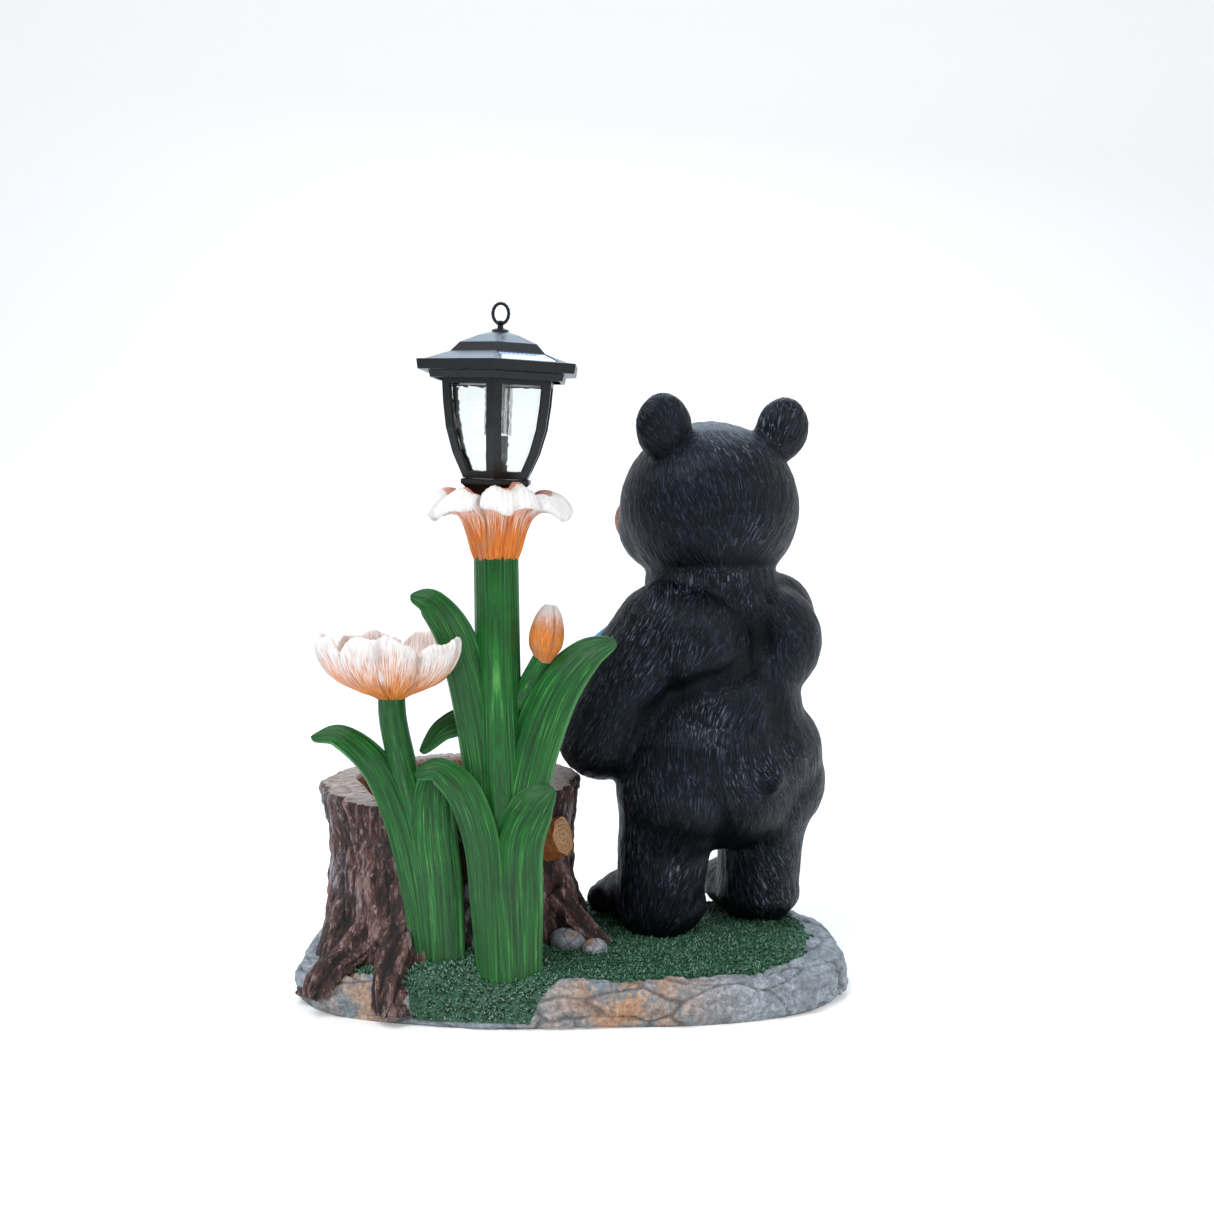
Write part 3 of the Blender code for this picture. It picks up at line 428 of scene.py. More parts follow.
class Finish:
    """A Principled material, with short ways to add nodes to it."""

    def __init__(self, name, colour, roughness, **values):
        self.material = bpy.data.materials.new(name)
        self.material.use_nodes = True
        self.tree = self.material.node_tree
        self.shader = self.tree.nodes["Principled BSDF"]
        self.set("Base Color", colour)
        self.set("Roughness", roughness)
        for key, value in values.items():
            self.set(key.replace("_", " "), value)

    def set(self, socket, value):
        target = self.shader.inputs[socket]
        self.give(target, value)

    def give(self, target, value):
        if isinstance(value, bpy.types.NodeSocket):
            self.tree.links.new(value, target)
        elif isinstance(value, tuple) and len(value) == 3 and target.type == "RGBA":
            target.default_value = (*value, 1.0)
        else:
            target.default_value = value

    def add(self, kind, inputs=(), **settings):
        made = self.tree.nodes.new("ShaderNode" + kind)
        for key, value in settings.items():
            setattr(made, key, value)
        for key, value in dict(inputs).items():
            self.give(made.inputs[key], value)
        return made

    def place(self):
        return self.add("TexCoord").outputs["Object"]

    def value(self, name):
        return self.add("Attribute", attribute_name=name).outputs["Fac"]

    def vector(self, name):
        return self.add("Attribute", attribute_name=name).outputs["Vector"]

    def noise(self, size, detail=3.0, vector=None, rough=0.55):
        """Noise with lumps of a size in metres."""
        inputs = {"Vector": vector or self.place(), "Scale": 1 / size, "Detail": detail}
        inputs["Roughness"] = rough
        return self.add("TexNoise", inputs).outputs["Fac"]

    def math(self, operation, a, b=0.5):
        return self.add("Math", {0: a, 1: b}, operation=operation).outputs[0]

    def times(self, a, b):
        return self.math("MULTIPLY", a, b)

    def plus(self, a, b):
        return self.math("ADD", a, b)

    def centred(self, value):
        """A value from 0 to 1 moved to lie round 0."""
        return self.math("SUBTRACT", value, 0.5)

    def vmath(self, operation, a, b=(0.0, 0.0, 0.0), out="Vector"):
        return self.add("VectorMath", {0: a, 1: b}, operation=operation).outputs[out]

    def scaled(self, vector, amount):
        made = self.add("VectorMath", {0: vector, "Scale": amount}, operation="SCALE")
        return made.outputs["Vector"]

    def joined(self, x, y, z=0.0):
        return self.add("CombineXYZ", {0: x, 1: y, 2: z}).outputs[0]

    def step(self, value, low, high):
        """0 below low, 1 above high and smooth between them."""
        inputs = {"Value": value, "From Min": low, "From Max": high}
        made = self.add("MapRange", inputs, interpolation_type="SMOOTHSTEP")
        return made.outputs[0]

    def marked(self, name):
        """1 where the points' value is over a half, with a short blend."""
        return self.step(self.value(name), 0.3, 0.7)

    def mix(self, share, a, b):
        made = self.add("Mix", data_type="RGBA")
        self.give(made.inputs[0], share)
        self.give(made.inputs[6], a)
        self.give(made.inputs[7], b)
        return made.outputs[2]

    def ramp(self, value, *stops):
        """Colours along a value, from stops: a place and then a colour or its three numbers for rgb."""
        made = self.add("ValToRGB", {0: value})
        elements = made.color_ramp.elements
        while len(elements) < len(stops):
            elements.new(0.5)
        for element, (where, *colour) in zip(elements, stops):
            element.position = where
            element.color = (*(rgb(*colour) if len(colour) == 3 else colour[0]), 1.0)
        return made.outputs["Color"]

    def relief(self, height, depth):
        """Bump of a depth in metres."""
        inputs = {"Height": height, "Distance": depth, "Strength": 1.0}
        self.set("Normal", self.add("Bump", inputs).outputs[0])


def stone_finish():
    """Gray stone with tan patches, and brown in the cracks."""
    f = Finish("painted_stone", rgb(140, 146, 155), 0.62)
    patches = f.step(f.noise(0.030, 4.0), 0.50, 0.66)
    fine = f.noise(0.0035, 5.0, rough=0.7)
    gray = f.ramp(fine, (0.30, 92, 96, 104), (0.52, 146, 152, 162), (0.75, 196, 200, 206))
    tan = f.ramp(fine, (0.30, 122, 84, 56), (0.55, 186, 140, 104), (0.78, 216, 186, 152))
    on_stone = f.step(f.value("mark"), 0.35, 0.75)
    colour = f.mix(f.times(patches, on_stone), gray, tan)
    colour = f.mix(f.step(f.value("crack"), 0.15, 0.95), colour, rgb(70, 58, 50))
    f.set("Base Color", colour)
    f.relief(fine, 0.0006)
    return f.material


def ground_finish():
    """Dark green moulded turf that turns to stone at the rim."""
    f = Finish("painted_ground", rgb(40, 92, 62), 0.6)
    fine = f.noise(0.0032, 5.0, rough=0.7)
    broad = f.noise(0.020, 4.0)
    patches = f.step(f.plus(broad, f.times(f.centred(fine), 0.5)), 0.36, 0.54)
    gray = f.ramp(
        fine, (0.30, 88, 94, 100), (0.50, 138, 146, 154), (0.64, 172, 180, 188), (0.80, 214, 220, 226),
    )
    gray = f.mix(f.times(f.step(broad, 0.58, 0.42), 0.45), gray, rgb(96, 106, 108))
    tan = f.ramp(fine, (0.30, 118, 84, 60), (0.52, 176, 136, 106), (0.74, 210, 186, 162))
    stone = f.mix(f.times(patches, f.value("mark")), gray, tan)
    stone = f.mix(f.times(f.step(f.value("crack"), 0.2, 0.95), 0.62), stone, rgb(66, 62, 60))
    turf = f.ramp(
        f.noise(0.0016, 4.0, rough=0.75), (0.30, 12, 40, 28), (0.50, 30, 78, 52), (0.70, 90, 134, 110),
    )
    f.set("Base Color", f.mix(f.step(f.value("turf"), 0.35, 0.65), stone, turf))
    f.relief(fine, 0.0006)
    return f.material


def blade_finish():
    """Grass tufts, dark at the foot and dry-brushed pale at the tips, with the tips paler at the front as
    painted light.
    """
    f = Finish("painted_grass", rgb(40, 92, 62), 0.55)
    patch = f.noise(0.018, 3.0)
    low = f.mix(patch, rgb(12, 38, 26), rgb(22, 62, 40))
    # tips go from dark to pale by a value that holds random tone plus painted light at the front
    high = f.ramp(
        f.value("tip_tone_and_light"), (0.0, 34, 92, 58), (0.45, 66, 126, 90), (0.75, 110, 158, 130),
        (1.0, 160, 194, 176),
    )
    f.set("Base Color", f.mix(f.step(f.value("tip"), 0.1, 0.9), low, high))
    return f.material


def bark_finish():
    """Dark reddish bark with pale dry-brushed ridges, a pale cut and an orange-brown hollow."""
    f = Finish("painted_bark", rgb(90, 60, 52), 0.58)
    p = f.place()
    stretched = f.vmath("MULTIPLY", p, (1.0, 1.0, 0.30))
    grain = f.noise(0.0022, 4.0, stretched, 0.75)
    flakes = f.noise(0.0046, 4.0, stretched, 0.7)
    rough = f.plus(f.times(grain, 0.55), f.times(flakes, 0.45))
    height = f.plus(f.value("ridge"), f.times(f.centred(rough), 2.6))
    bark = f.ramp(height, (0.12, 12, 6, 6), (0.42, 48, 25, 23), (0.68, 86, 54, 48), (0.88, 126, 98, 92))
    gray = f.ramp(
        height, (0.12, 16, 13, 15), (0.42, 50, 42, 44), (0.68, 92, 82, 86), (0.86, 150, 144, 150),
    )
    bark = f.mix(f.step(f.noise(0.045, 2.0), 0.46, 0.64), bark, gray)
    specks = f.times(f.step(grain, 0.57, 0.64), f.step(f.value("ridge"), 0.30, 0.60))
    bark = f.mix(f.times(specks, 0.52), bark, rgb(190, 180, 180))
    around = f.value("around")
    cut_grain = f.noise(1.0, 4.0, f.joined(f.times(around, 60.0), f.times(f.value("inward"), 3.0)))
    cut = f.ramp(cut_grain, (0.30, 96, 72, 62), (0.46, 164, 144, 134), (0.68, 198, 186, 182))
    blotch = f.step(f.noise(0.012, 4.0), 0.52, 0.66)
    cut = f.mix(f.times(blotch, 0.6), cut, rgb(150, 132, 126))
    inside = f.ramp(
        f.noise(0.0030, 4.0, stretched), (0.30, 70, 34, 16), (0.52, 134, 72, 34), (0.74, 178, 112, 62),
    )
    colour = f.mix(f.marked("cut"), bark, cut)
    colour = f.mix(f.marked("hollow"), colour, inside)
    f.set("Base Color", colour)
    f.relief(rough, 0.0040)
    return f.material


def knot_finish():
    """The sawn end of a branch: rings on tan wood, orange-brown bark at the side."""
    f = Finish("painted_knot", rgb(190, 140, 90), 0.5)
    rings = f.math("SINE", f.plus(f.times(f.value("inward"), 26.0), f.times(f.noise(0.004, 3.0), 5.0)))
    face = f.ramp(
        f.math("ABSOLUTE", rings), (0.0, 96, 56, 30), (0.45, 176, 128, 86), (0.9, 208, 166, 124),
    )
    side = f.ramp(
        f.noise(0.0022, 5.0, rough=0.7), (0.3, 92, 50, 22), (0.5, 166, 100, 48), (0.75, 198, 142, 88),
    )
    f.set("Base Color", f.mix(f.marked("cut"), side, face))
    f.relief(f.plus(rings, f.noise(0.001, 3.0)), 0.0004)
    return f.material


def leaf_finish():
    """Glossy rich green, brushed along the leaf in lighter and darker streaks, with a painted highlight
    along the edges.
    """
    f = Finish("painted_leaf", rgb(22, 96, 40), 0.27, Specular_IOR_Level=0.42)
    across = f.value("across")
    placed = f.joined(f.times(across, 17.0), f.times(f.value("along"), 2.2), f.value("kind"))
    streaks = f.noise(1.0, 5.0, placed, 0.65)
    colour = f.ramp(
        streaks, (0.30, 2, 40, 10), (0.44, 6, 72, 20), (0.58, 16, 104, 32), (0.74, 96, 168, 80),
    )
    dark = f.step(f.noise(0.026, 4.0), 0.50, 0.70)
    colour = f.mix(f.times(dark, 0.45), colour, rgb(6, 54, 20))
    middle = f.times(f.step(f.math("ABSOLUTE", across), 0.08, 0.01), 0.45)
    colour = f.mix(middle, colour, rgb(3, 30, 10))
    # painted highlight: pale green along the leaf's edges
    f.set("Base Color", f.mix(f.times(f.value("edge"), 0.35), colour, rgb(104, 170, 104)))
    f.relief(streaks, 0.0006)
    return f.material


def petal_finish(name, foot, change, inside):
    """Cream petals with an orange foot, painted in strokes, and brown in the grooves."""
    f = Finish(name, rgb(235, 225, 212), 0.48)
    around = f.times(f.value("around"), 46.0)
    rise = f.value("rise")
    strokes = f.noise(1.0, 4.0, f.joined(around, f.times(rise, 5.0)), 0.6)
    fine = f.noise(1.0, 3.0, f.joined(f.times(around, 2.6), f.times(rise, 7.0), 3.0), 0.6)
    cream = f.ramp(fine, (0.28, 204, 190, 180), (0.42, 238, 232, 228), (0.58, 251, 249, 247))
    warm = f.ramp(strokes, (0.30, 170, 66, 10), (0.46, foot), (0.58, 244, 150, 48), (0.72, 252, 206, 84))
    level = f.plus(rise, f.times(f.centred(strokes), 1.3))
    colour = f.mix(f.step(level, *change), warm, cream)
    wash = f.step(f.noise(0.014, 4.0), 0.48, 0.66)
    colour = f.mix(f.times(wash, 0.26), colour, rgb(176, 154, 142))
    colour = f.mix(f.times(f.value("groove"), 0.55), colour, rgb(136, 96, 70))
    within = f.mix(f.step(fine, 0.36, 0.56), rgb(206, 170, 152), inside)
    colour = f.mix(f.marked("inner"), colour, within)
    f.set("Base Color", colour)
    f.relief(fine, 0.0005)
    return f.material


def fur_strokes(f, width, length, patch_size):
    """Short strokes along the fur: noise squeezed along its flow, in small patches."""
    place = f.place()
    flow = f.vector("flow")
    patch = f.add("TexVoronoi", {"Vector": place, "Scale": 1 / patch_size})
    local = f.vmath("SUBTRACT", place, patch.outputs["Position"])
    reach = f.vmath("DOT_PRODUCT", local, flow, "Value")
    squeezed = f.vmath("SUBTRACT", local, f.scaled(flow, f.times(reach, 1 - width / length)))
    shifted = f.vmath("ADD", f.scaled(squeezed, 1 / width), f.scaled(patch.outputs["Color"], 40.0))
    return f.noise(1.0, 1.5, shifted, 0.5)


def fur_finish():
    """Black paint over fine incised fur, dry-brushed gray on the raised strokes in patches, their blue tint
    a painted sky reflection, with painted shade in the creases and underneath.
    """
    f = Finish("painted_fur", rgb(12, 13, 16), 0.40, Specular_IOR_Level=0.20)
    f.set("Specular Tint", (0.74, 0.87, 1.0))
    fine = fur_strokes(f, 0.00085, 0.0075, 0.0100)
    long = fur_strokes(f, 0.0014, 0.0110, 0.014)
    strokes = f.plus(f.times(fine, 0.62), f.times(long, 0.38))
    brushed = f.step(f.noise(0.040, 2.0), 0.44, 0.68)
    # the strokes' gray is dry-brushed paint, and their blue tint is a painted sky reflection
    plain = f.ramp(strokes, (0.38, 1, 1, 2), (0.49, 5, 6, 10), (0.58, 24, 29, 40), (0.70, 54, 64, 84))
    bright = f.ramp(strokes, (0.38, 1, 1, 2), (0.48, 6, 7, 11), (0.56, 38, 42, 52), (0.68, 108, 114, 128))
    fur = f.mix(brushed, plain, bright)
    # painted shade: near black in the pressed creases and on surfaces that face down
    fur = f.mix(f.times(f.value("painted_shade"), 0.9), fur, rgb(2, 2, 4))
    tan = f.ramp(strokes, (0.36, 78, 48, 32), (0.52, 134, 92, 64), (0.66, 178, 138, 104))
    colour = f.mix(f.value("tan"), fur, tan)
    f.set("Base Color", f.mix(f.value("dark"), colour, rgb(10, 9, 9)))
    f.relief(strokes, 0.0014)
    return f.material


def plain_finish(name, colour, roughness, size, depth, **values):
    """Moulded or painted surface with a slight unevenness of colour and relief."""
    f = Finish(name, colour, roughness, **values)
    lumps = f.noise(size, 4.0)
    dark = tuple(0.72 * v for v in colour)
    light = tuple(min(1.0, 1.28 * v + 0.004) for v in colour)
    f.set("Base Color", f.ramp(lumps, (0.3, dark), (0.5, colour), (0.7, light)))
    f.relief(lumps, depth)
    return f.material


def clear_finish(name, colour, waves):
    """Clear moulded plastic with waves in it."""
    f = Finish(name, colour, 0.04, IOR=1.46, Transmission_Weight=1.0)
    f.relief(f.noise(0.009, 2.0), waves)
    return f.material


def solar_finish():
    """A pale sky-blue cell under clear resin, with faint darker lines."""
    f = Finish("solar_cell_finish", rgb(120, 150, 190), 0.12, Coat_Weight=0.6, Coat_Roughness=0.05)
    bands = f.math("SINE", f.times(f.add("SeparateXYZ", {0: f.place()}).outputs["X"], 2600.0))
    f.set("Base Color", f.ramp(bands, (0.0, 120, 146, 180), (0.3, 142, 168, 200), (1.0, 150, 176, 208)))
    return f.material


# Base


def base_reach(angle):
    """Distance from the middle to the base's edge."""
    c, s = np.cos(angle), np.sin(angle)
    a, b, n = BASE_LENGTH / 2, BASE_DEPTH / 2, BASE_SQUARENESS
    reach = (np.abs(c / a) ** n + np.abs(s / b) ** n) ** (-1 / n)
    return reach * (1 + 0.010 * np.sin(3 * angle + 0.6) + 0.008 * np.sin(7 * angle + 2.0) - 0.012)


STONE_PROFILE = (
    # height, inset from the edge
    (0.0, 0.0035),
    (0.20 * RIM_HEIGHT, 0.0),
    (0.62 * RIM_HEIGHT, 0.0004),
    (0.92 * RIM_HEIGHT, 0.0052),
    (1.0 * RIM_HEIGHT, 0.0120),
    (1.0 * RIM_HEIGHT, 0.0200),
    (GROUND, 0.0480),
)
MOUND_PROFILE = (
    (0.0, 0.0008),
    (0.16 * RIM_HEIGHT, 0.0),
    (0.40 * RIM_HEIGHT, 0.0055),
    (0.64 * RIM_HEIGHT, 0.0125),
    (0.82 * RIM_HEIGHT, 0.0200),
    (0.95 * RIM_HEIGHT, 0.0300),
    (GROUND, 0.0520),
)


def base_grid():
    """The base's plain surface, and how much turf there is on it."""
    angle = full_turn(BASE_COLUMNS)
    mound = bump(angle, MOUND_ANGLE, MOUND_SPREAD)
    stone, turf = through(STONE_PROFILE, RIM_ROWS), through(MOUND_PROFILE, RIM_ROWS)
    z = stone[:, :1] + (turf - stone)[:, :1] * mound
    inset = stone[:, 1:] + (turf - stone)[:, 1:] * mound
    reach = base_reach(angle) - inset
    share = 1 - np.arange(1, TOP_ROWS)[:, None] / TOP_ROWS
    reach = np.vstack([reach, reach[-1:] * share])
    z = np.vstack([np.maximum(z, 0.0), np.full((TOP_ROWS - 1, BASE_COLUMNS), GROUND)])
    grid = np.stack([reach * np.cos(angle), reach * np.sin(angle), z], -1)
    depth = base_reach(angle) - reach
    wide = TURF_INSET + TURF_INSET_MORE_RIGHT * bump(angle, math.radians(-8), math.radians(26))
    wide = wide + TURF_INSET_MORE_LEFT * bump(angle, math.radians(172), math.radians(30))
    wander = 0.011 * (layered(grid, 0.022, 5) - 0.5)
    turf = smoothstep(depth - wide * (1 - mound) + wander + 0.020 * (mound - 0.25), -0.0015, 0.0015)
    turf = turf * smoothstep(z, 0.05 * RIM_HEIGHT, 0.25 * RIM_HEIGHT)
    for root in (MAIN_ROOT, SIDE_ROOT):
        away = np.hypot(grid[..., 0] - root.x, grid[..., 1] - root.y)
        heap = TURF_HEAP * peak(away, TURF_HEAP_RADIUS)
        grid[..., 2] += heap * smoothstep(z, 0.3 * RIM_HEIGHT, 0.9 * RIM_HEIGHT)
    return grid, turf


def make_base():
    """The rim of flat stones, with the turf that spills over it at the front."""
    grid, turf = base_grid()
    normals = grid_normals(grid)
    run = np.linalg.norm(np.diff(grid, axis=0, prepend=grid[:1]), axis=-1).cumsum(0)
    length = np.linalg.norm(np.roll(grid[12], -1, 0) - grid[12], axis=-1).cumsum()[None, :]
    warp = 0.35 * (layered(grid, 0.030, 11) - 0.5)
    flat = np.stack([length / STONE_WIDTH + warp, run / STONE_COURSE + 2 * warp, 0 * run], -1)
    near, second, mark = cells(flat, 21)
    crack = peak(second - near, 0.06)
    lumps = 0.0026 * (layered(grid, 0.017, 31, 4) - 0.5) + 0.0010 * (noise(grid, 0.0032, 35) - 0.5)
    wavy = grid + 0.006 * np.stack([noise(grid, 0.012, s) - 0.5 for s in (51, 52, 53)], -1)
    chip_near, chip_second, chip = cells(wavy / (STONE_CHIP, STONE_CHIP, 0.45 * STONE_CHIP), 57)
    chips = 0.0042 * (chip - 0.5) * smoothstep(chip_second - chip_near, 0.0, 0.12)
    stones = 0.0010 * (mark - 0.5) - CRACK_DEPTH * crack + lumps + chips
    x, y = grid[..., 0], grid[..., 1]
    warm_right = peak(x - 0.034, 0.042)
    warm_left = 0.8 * peak(x + 0.122, 0.022)
    tan = (warm_right + warm_left) * smoothstep(-y, 0.03, 0.07) + 0.25 * smoothstep(y, 0.03, 0.07)
    curls = 1 - np.abs(2 * layered(grid, 0.0034, 41, 2) - 1) * 2
    blades = 0.0011 * (curls - 0.5) + 0.0036 * (layered(grid, 0.020, 47) - 0.5)
    blades += 0.0008
    out = stones * (1 - turf) + blades * turf
    out *= smoothstep(grid[..., 2], 0.0, 0.12 * RIM_HEIGHT)
    shaped = grid + normals * out[..., None]
    shaped[..., 2] = np.maximum(shaped[..., 2], 0.0)
    grid_piece("stone_base", shaped, ground_finish(), turf=turf, crack=crack, mark=np.clip(tan, 0, 1))
    make_grass(shaped, normals, turf)


def make_grass(grid, normals, turf):
    """Short three-sided tufts all over the turf."""
    rng = np.random.default_rng(7)
    around = np.linalg.norm(np.roll(grid, -1, 1) - grid, axis=-1)
    area = around * np.linalg.norm(np.gradient(grid, axis=0), axis=-1)
    clear = np.hypot(grid[..., 0] - STUMP_CENTRE[0], grid[..., 1] - STUMP_CENTRE[1]) > 0.9 * STUMP_RADIUS
    weight = (area * clear * smoothstep(turf, 0.4, 0.9)).ravel()
    picked = rng.choice(weight.size, BLADES, p=weight / weight.sum())
    foot = grid.reshape(-1, 3)[picked] + rng.normal(0, 0.0006, (BLADES, 3)) * (1, 1, 0)
    up = unit(normals.reshape(-1, 3)[picked] + (0, 0, 0.3) + rng.normal(0, 0.85, (BLADES, 3)))
    heights = BLADE_HEIGHT * rng.uniform(0.6, 1.25, (BLADES, 1))
    side = unit(np.cross(up, rng.normal(size=(BLADES, 3))))
    other = np.cross(up, side)
    corners = [foot + up * heights]
    for k in range(3):
        a = TAU * k / 3
        width = BLADE_WIDTH * (1.3 if k == 0 else 0.8)
        corners.append(foot - up * 0.0006 + width * (math.cos(a) * side + math.sin(a) * other))
    points = np.stack(corners, 1)
    start = 4 * np.arange(BLADES)[:, None]
    faces = [start + np.array(f) for f in ((0, 1, 2), (0, 2, 3), (0, 3, 1), (1, 3, 2))]
    mesh = bpy.data.meshes.new("grass")
    mesh.from_pydata(points.reshape(-1, 3).tolist(), [], np.concatenate(faces).tolist())
    # painted light: the tips of the tufts at the front left are made paler
    front = smoothstep(-foot[:, 1], 0.055, 0.090) * smoothstep(-foot[:, 0], -0.02, 0.02)
    tip_tone_and_light = np.repeat(np.clip(rng.uniform(0, 1, BLADES) ** 1.5 + 0.28 * front, 0, 1), 4)
    put_values(mesh, {"tip": np.tile((1.0, 0.0, 0.0, 0.0), BLADES), "tip_tone_and_light": tip_tone_and_light})
    piece("grass", mesh, blade_finish())


# Stump


def root_swell(angle, height):
    """How far the roots stand out of the stump, most at the ground."""
    share = np.maximum(0.0, 1 - (height - 0.5 * RIM_HEIGHT) / (0.62 * STUMP_HEIGHT))
    total = 0.0
    for degrees in ROOT_ANGLES:
        middle = math.radians(degrees)
        total = total + ROOT_REACH * share**1.7 * bump(angle, middle, ROOT_SPREAD)
        total = total + 0.25 * ROOT_REACH * share**1.2 * bump(angle, middle, 1.8 * ROOT_SPREAD)
    return total


def stump_radius(angle, height):
    share = height / STUMP_HEIGHT
    lip = 0.0015 * share**6
    oval = 1 + 0.035 * np.sin(2 * angle + 0.7) + 0.018 * np.sin(3 * angle)
    waist = STUMP_RADIUS - 0.0045 * np.sin(math.pi * share)
    flare = STUMP_FLARE * (1 - share) ** 2
    return (waist + flare + lip) * oval + root_swell(angle, height)


def furrows(angle, height):
    """1 on the bark's ridges, 0 in the furrows, which wander as they climb."""
    wander = 0.5 * np.sin(14 * height / STUMP_HEIGHT + 3 * angle) + 0.35 * np.sin(5 * angle + 1)
    return np.abs(np.sin(0.5 * BARK_FURROWS * angle + wander)) ** 0.6


def stump_top(angle):
    return STUMP_HEIGHT * (1 + 0.022 * np.sin(angle) + 0.008 * np.sin(4 * angle + 1))


def bark_height(points, coarse):
    """How high the bark stands, from 0 to 1: plates between deep cracks, with fibres on them."""
    warp = 0.012 * np.stack([layered(points, 0.018, s) - 0.5 for s in (61, 62, 63)], -1)
    p = points + warp
    plates = 1 - np.abs(2 * layered(p, (0.0068, 0.0068, 0.040), 65, 2) - 1) * 2.4
    strands = 1 - np.abs(2 * noise(p, (0.0030, 0.0030, 0.018), 69) - 1)
    chips = noise(p, (0.0022, 0.0022, 0.0045), 73)
    high = 0.34 * coarse + 0.34 * (1 - np.clip(plates, 0, 1)) + 0.20 * (1 - strands) + 0.12 * chips
    return np.clip(1.25 * high - 0.10, 0, 1)


def make_stump():
    """Bark outside, the cut rim and the hollow inside, as one skin."""
    angle = full_turn(STUMP_COLUMNS)
    top = stump_top(angle)
    low = 0.25 * RIM_HEIGHT
    share = np.linspace(0, 1, BARK_ROWS)[:, None]
    z = low + (top - 0.0010 - low) * share
    radius = stump_radius(angle, z)
    across, deep = STUMP_CENTRE
    grid = np.stack([across + radius * np.cos(angle), deep + radius * np.sin(angle), z], -1)
    coarse = furrows(angle, z)
    ridge = bark_height(grid, coarse)
    out = BARK_DEPTH * 2.1 * (ridge - 0.52) + BARK_DEPTH * 0.5 * (coarse - 0.6)
    out -= 0.0012 * smoothstep(share, 0.985, 1.0)
    bark = grid + grid_normals(grid) * out[..., None]

    floor_z, mouth_z = HOLLOW_FLOOR, STUMP_HEIGHT + 0.02
    level = (top - 0.0012 - floor_z) / (mouth_z - floor_z)
    uneven = 0.05 * np.sin(3 * angle + 1) + 0.03 * np.sin(5 * angle) + 0.09 * bump(angle, math.pi, 0.3)

    def hollow_ring(part):
        reach = HOLLOW_FLOOR_RADIUS + (HOLLOW_RADIUS - HOLLOW_FLOOR_RADIUS) * part
        reach = reach * (1 + part * uneven)
        x = STUMP_CENTRE[0] + HOLLOW_OFFSET[0] + reach * np.cos(angle)
        y = STUMP_CENTRE[1] + HOLLOW_OFFSET[1] + reach * np.sin(angle)
        return np.stack([x, y, floor_z + (mouth_z - floor_z) * part], -1)

    mouth = hollow_ring(level)
    rim = bark[-1:]
    rows = []
    for t in np.linspace(0, 1, CUT_ROWS + 1)[1:]:
        ring = rim * (1 - t) + mouth * t
        ring[..., 2] = top + 0.0010 * (layered(ring, (0.006, 0.006, 0.006), 81) - 0.5)
        spots = np.stack([45 * angle, 0 * angle + 2 * t, 0 * angle], -1)
        ring[..., 2] -= 0.0008 * (noise(spots, 1.0, 83) > 0.72)
        ring[..., 2] -= 0.0012 * (t > 0.99)
        rows.append(ring)
    cut = np.vstack(rows)
    wall = np.vstack([hollow_ring(level * part) for part in np.linspace(1, 0, WALL_ROWS + 1)[1:]])
    out = 0.0016 * (layered(wall, (0.004, 0.004, 0.020), 85) - 0.5)
    below_rim = smoothstep(np.linspace(1, 0, WALL_ROWS), 0, 0.2)[:, None, None]
    wall = wall + grid_normals(wall) * out[..., None] * below_rim
    centre = wall[-1].mean(0)
    shares = np.linspace(0, 0.97, FLOOR_ROWS + 1)[1:]
    floor = np.stack([wall[-1] * (1 - t) + centre * t for t in shares])
    grid = np.concatenate([bark, cut, wall, floor])
    rows = [len(bark), len(cut), len(wall), len(floor)]
    whole = np.concatenate([ridge, np.full((sum(rows[1:]), STUMP_COLUMNS), 0.5)])
    zone = np.repeat((0.0, 1.0, 0.0, 0.0), rows)[:, None]
    hollow = np.repeat((0.0, 0.0, 1.0, 1.0), rows)[:, None]
    inward = np.concatenate([np.zeros(rows[0]), np.linspace(0, 1, rows[1]), np.ones(rows[2] + rows[3])])
    turn = np.sin(angle) + 2 * np.cos(angle)
    grid_piece(
        "stump", grid, bark_finish(),
        ridge=whole, cut=zone, hollow=hollow, inward=inward[:, None], around=turn,
    )


ROOTS = (
    # points out over the stones, and the radius at each
    (
        (-1080, -360, 600, 120),
        (-1300, -560, 340, 125),
        (-1440, -695, 245, 105),
        (-1505, -755, 165, 75),
        (-1535, -785, 110, 35),
    ),
    (
        (-960, -520, 620, 120),
        (-1030, -740, 360, 125),
        (-1065, -870, 225, 100),
        (-1080, -925, 120, 70),
        (-1085, -945, 70, 35),
    ),
    (
        (-120, -220, 600, 100),
        (40, -260, 400, 95),
        (160, -285, 310, 75),
        (250, -300, 270, 40),
    ),
)


def make_roots():
    """Roots that run out over the stones, which the solids don't have."""
    finish = bpy.data.materials["painted_bark"]
    for number, points in enumerate(ROOTS):
        table = through(np.array(points) / TENTHS, ROOT_ROWS)
        line, radii = table[:, :3], table[:, 3]
        grid = tube_grid(line, radii, ROOT_COLUMNS)
        turn = full_turn(ROOT_COLUMNS)
        run = np.linalg.norm(np.diff(line, axis=0, prepend=line[:1]), axis=1).cumsum()[:, None]
        round_it = [ROOT_GIRTH * np.cos(turn) + 0 * run, ROOT_GIRTH * np.sin(turn) + 0 * run, run + 0 * turn]
        flat = np.stack(round_it, -1)
        ridge = bark_height(flat + number, 0.5 + 0.5 * np.sin(5 * turn + 40 * run))
        grid = grid + grid_normals(grid) * (0.0056 * (ridge - 0.5))[..., None]
        grid[..., 2] = np.maximum(grid[..., 2], 0.0005)
        name = f"root_{number + 1}"
        grid_piece(name, grid, finish, ridge=ridge, cut=0, hollow=0, inward=0, around=0)


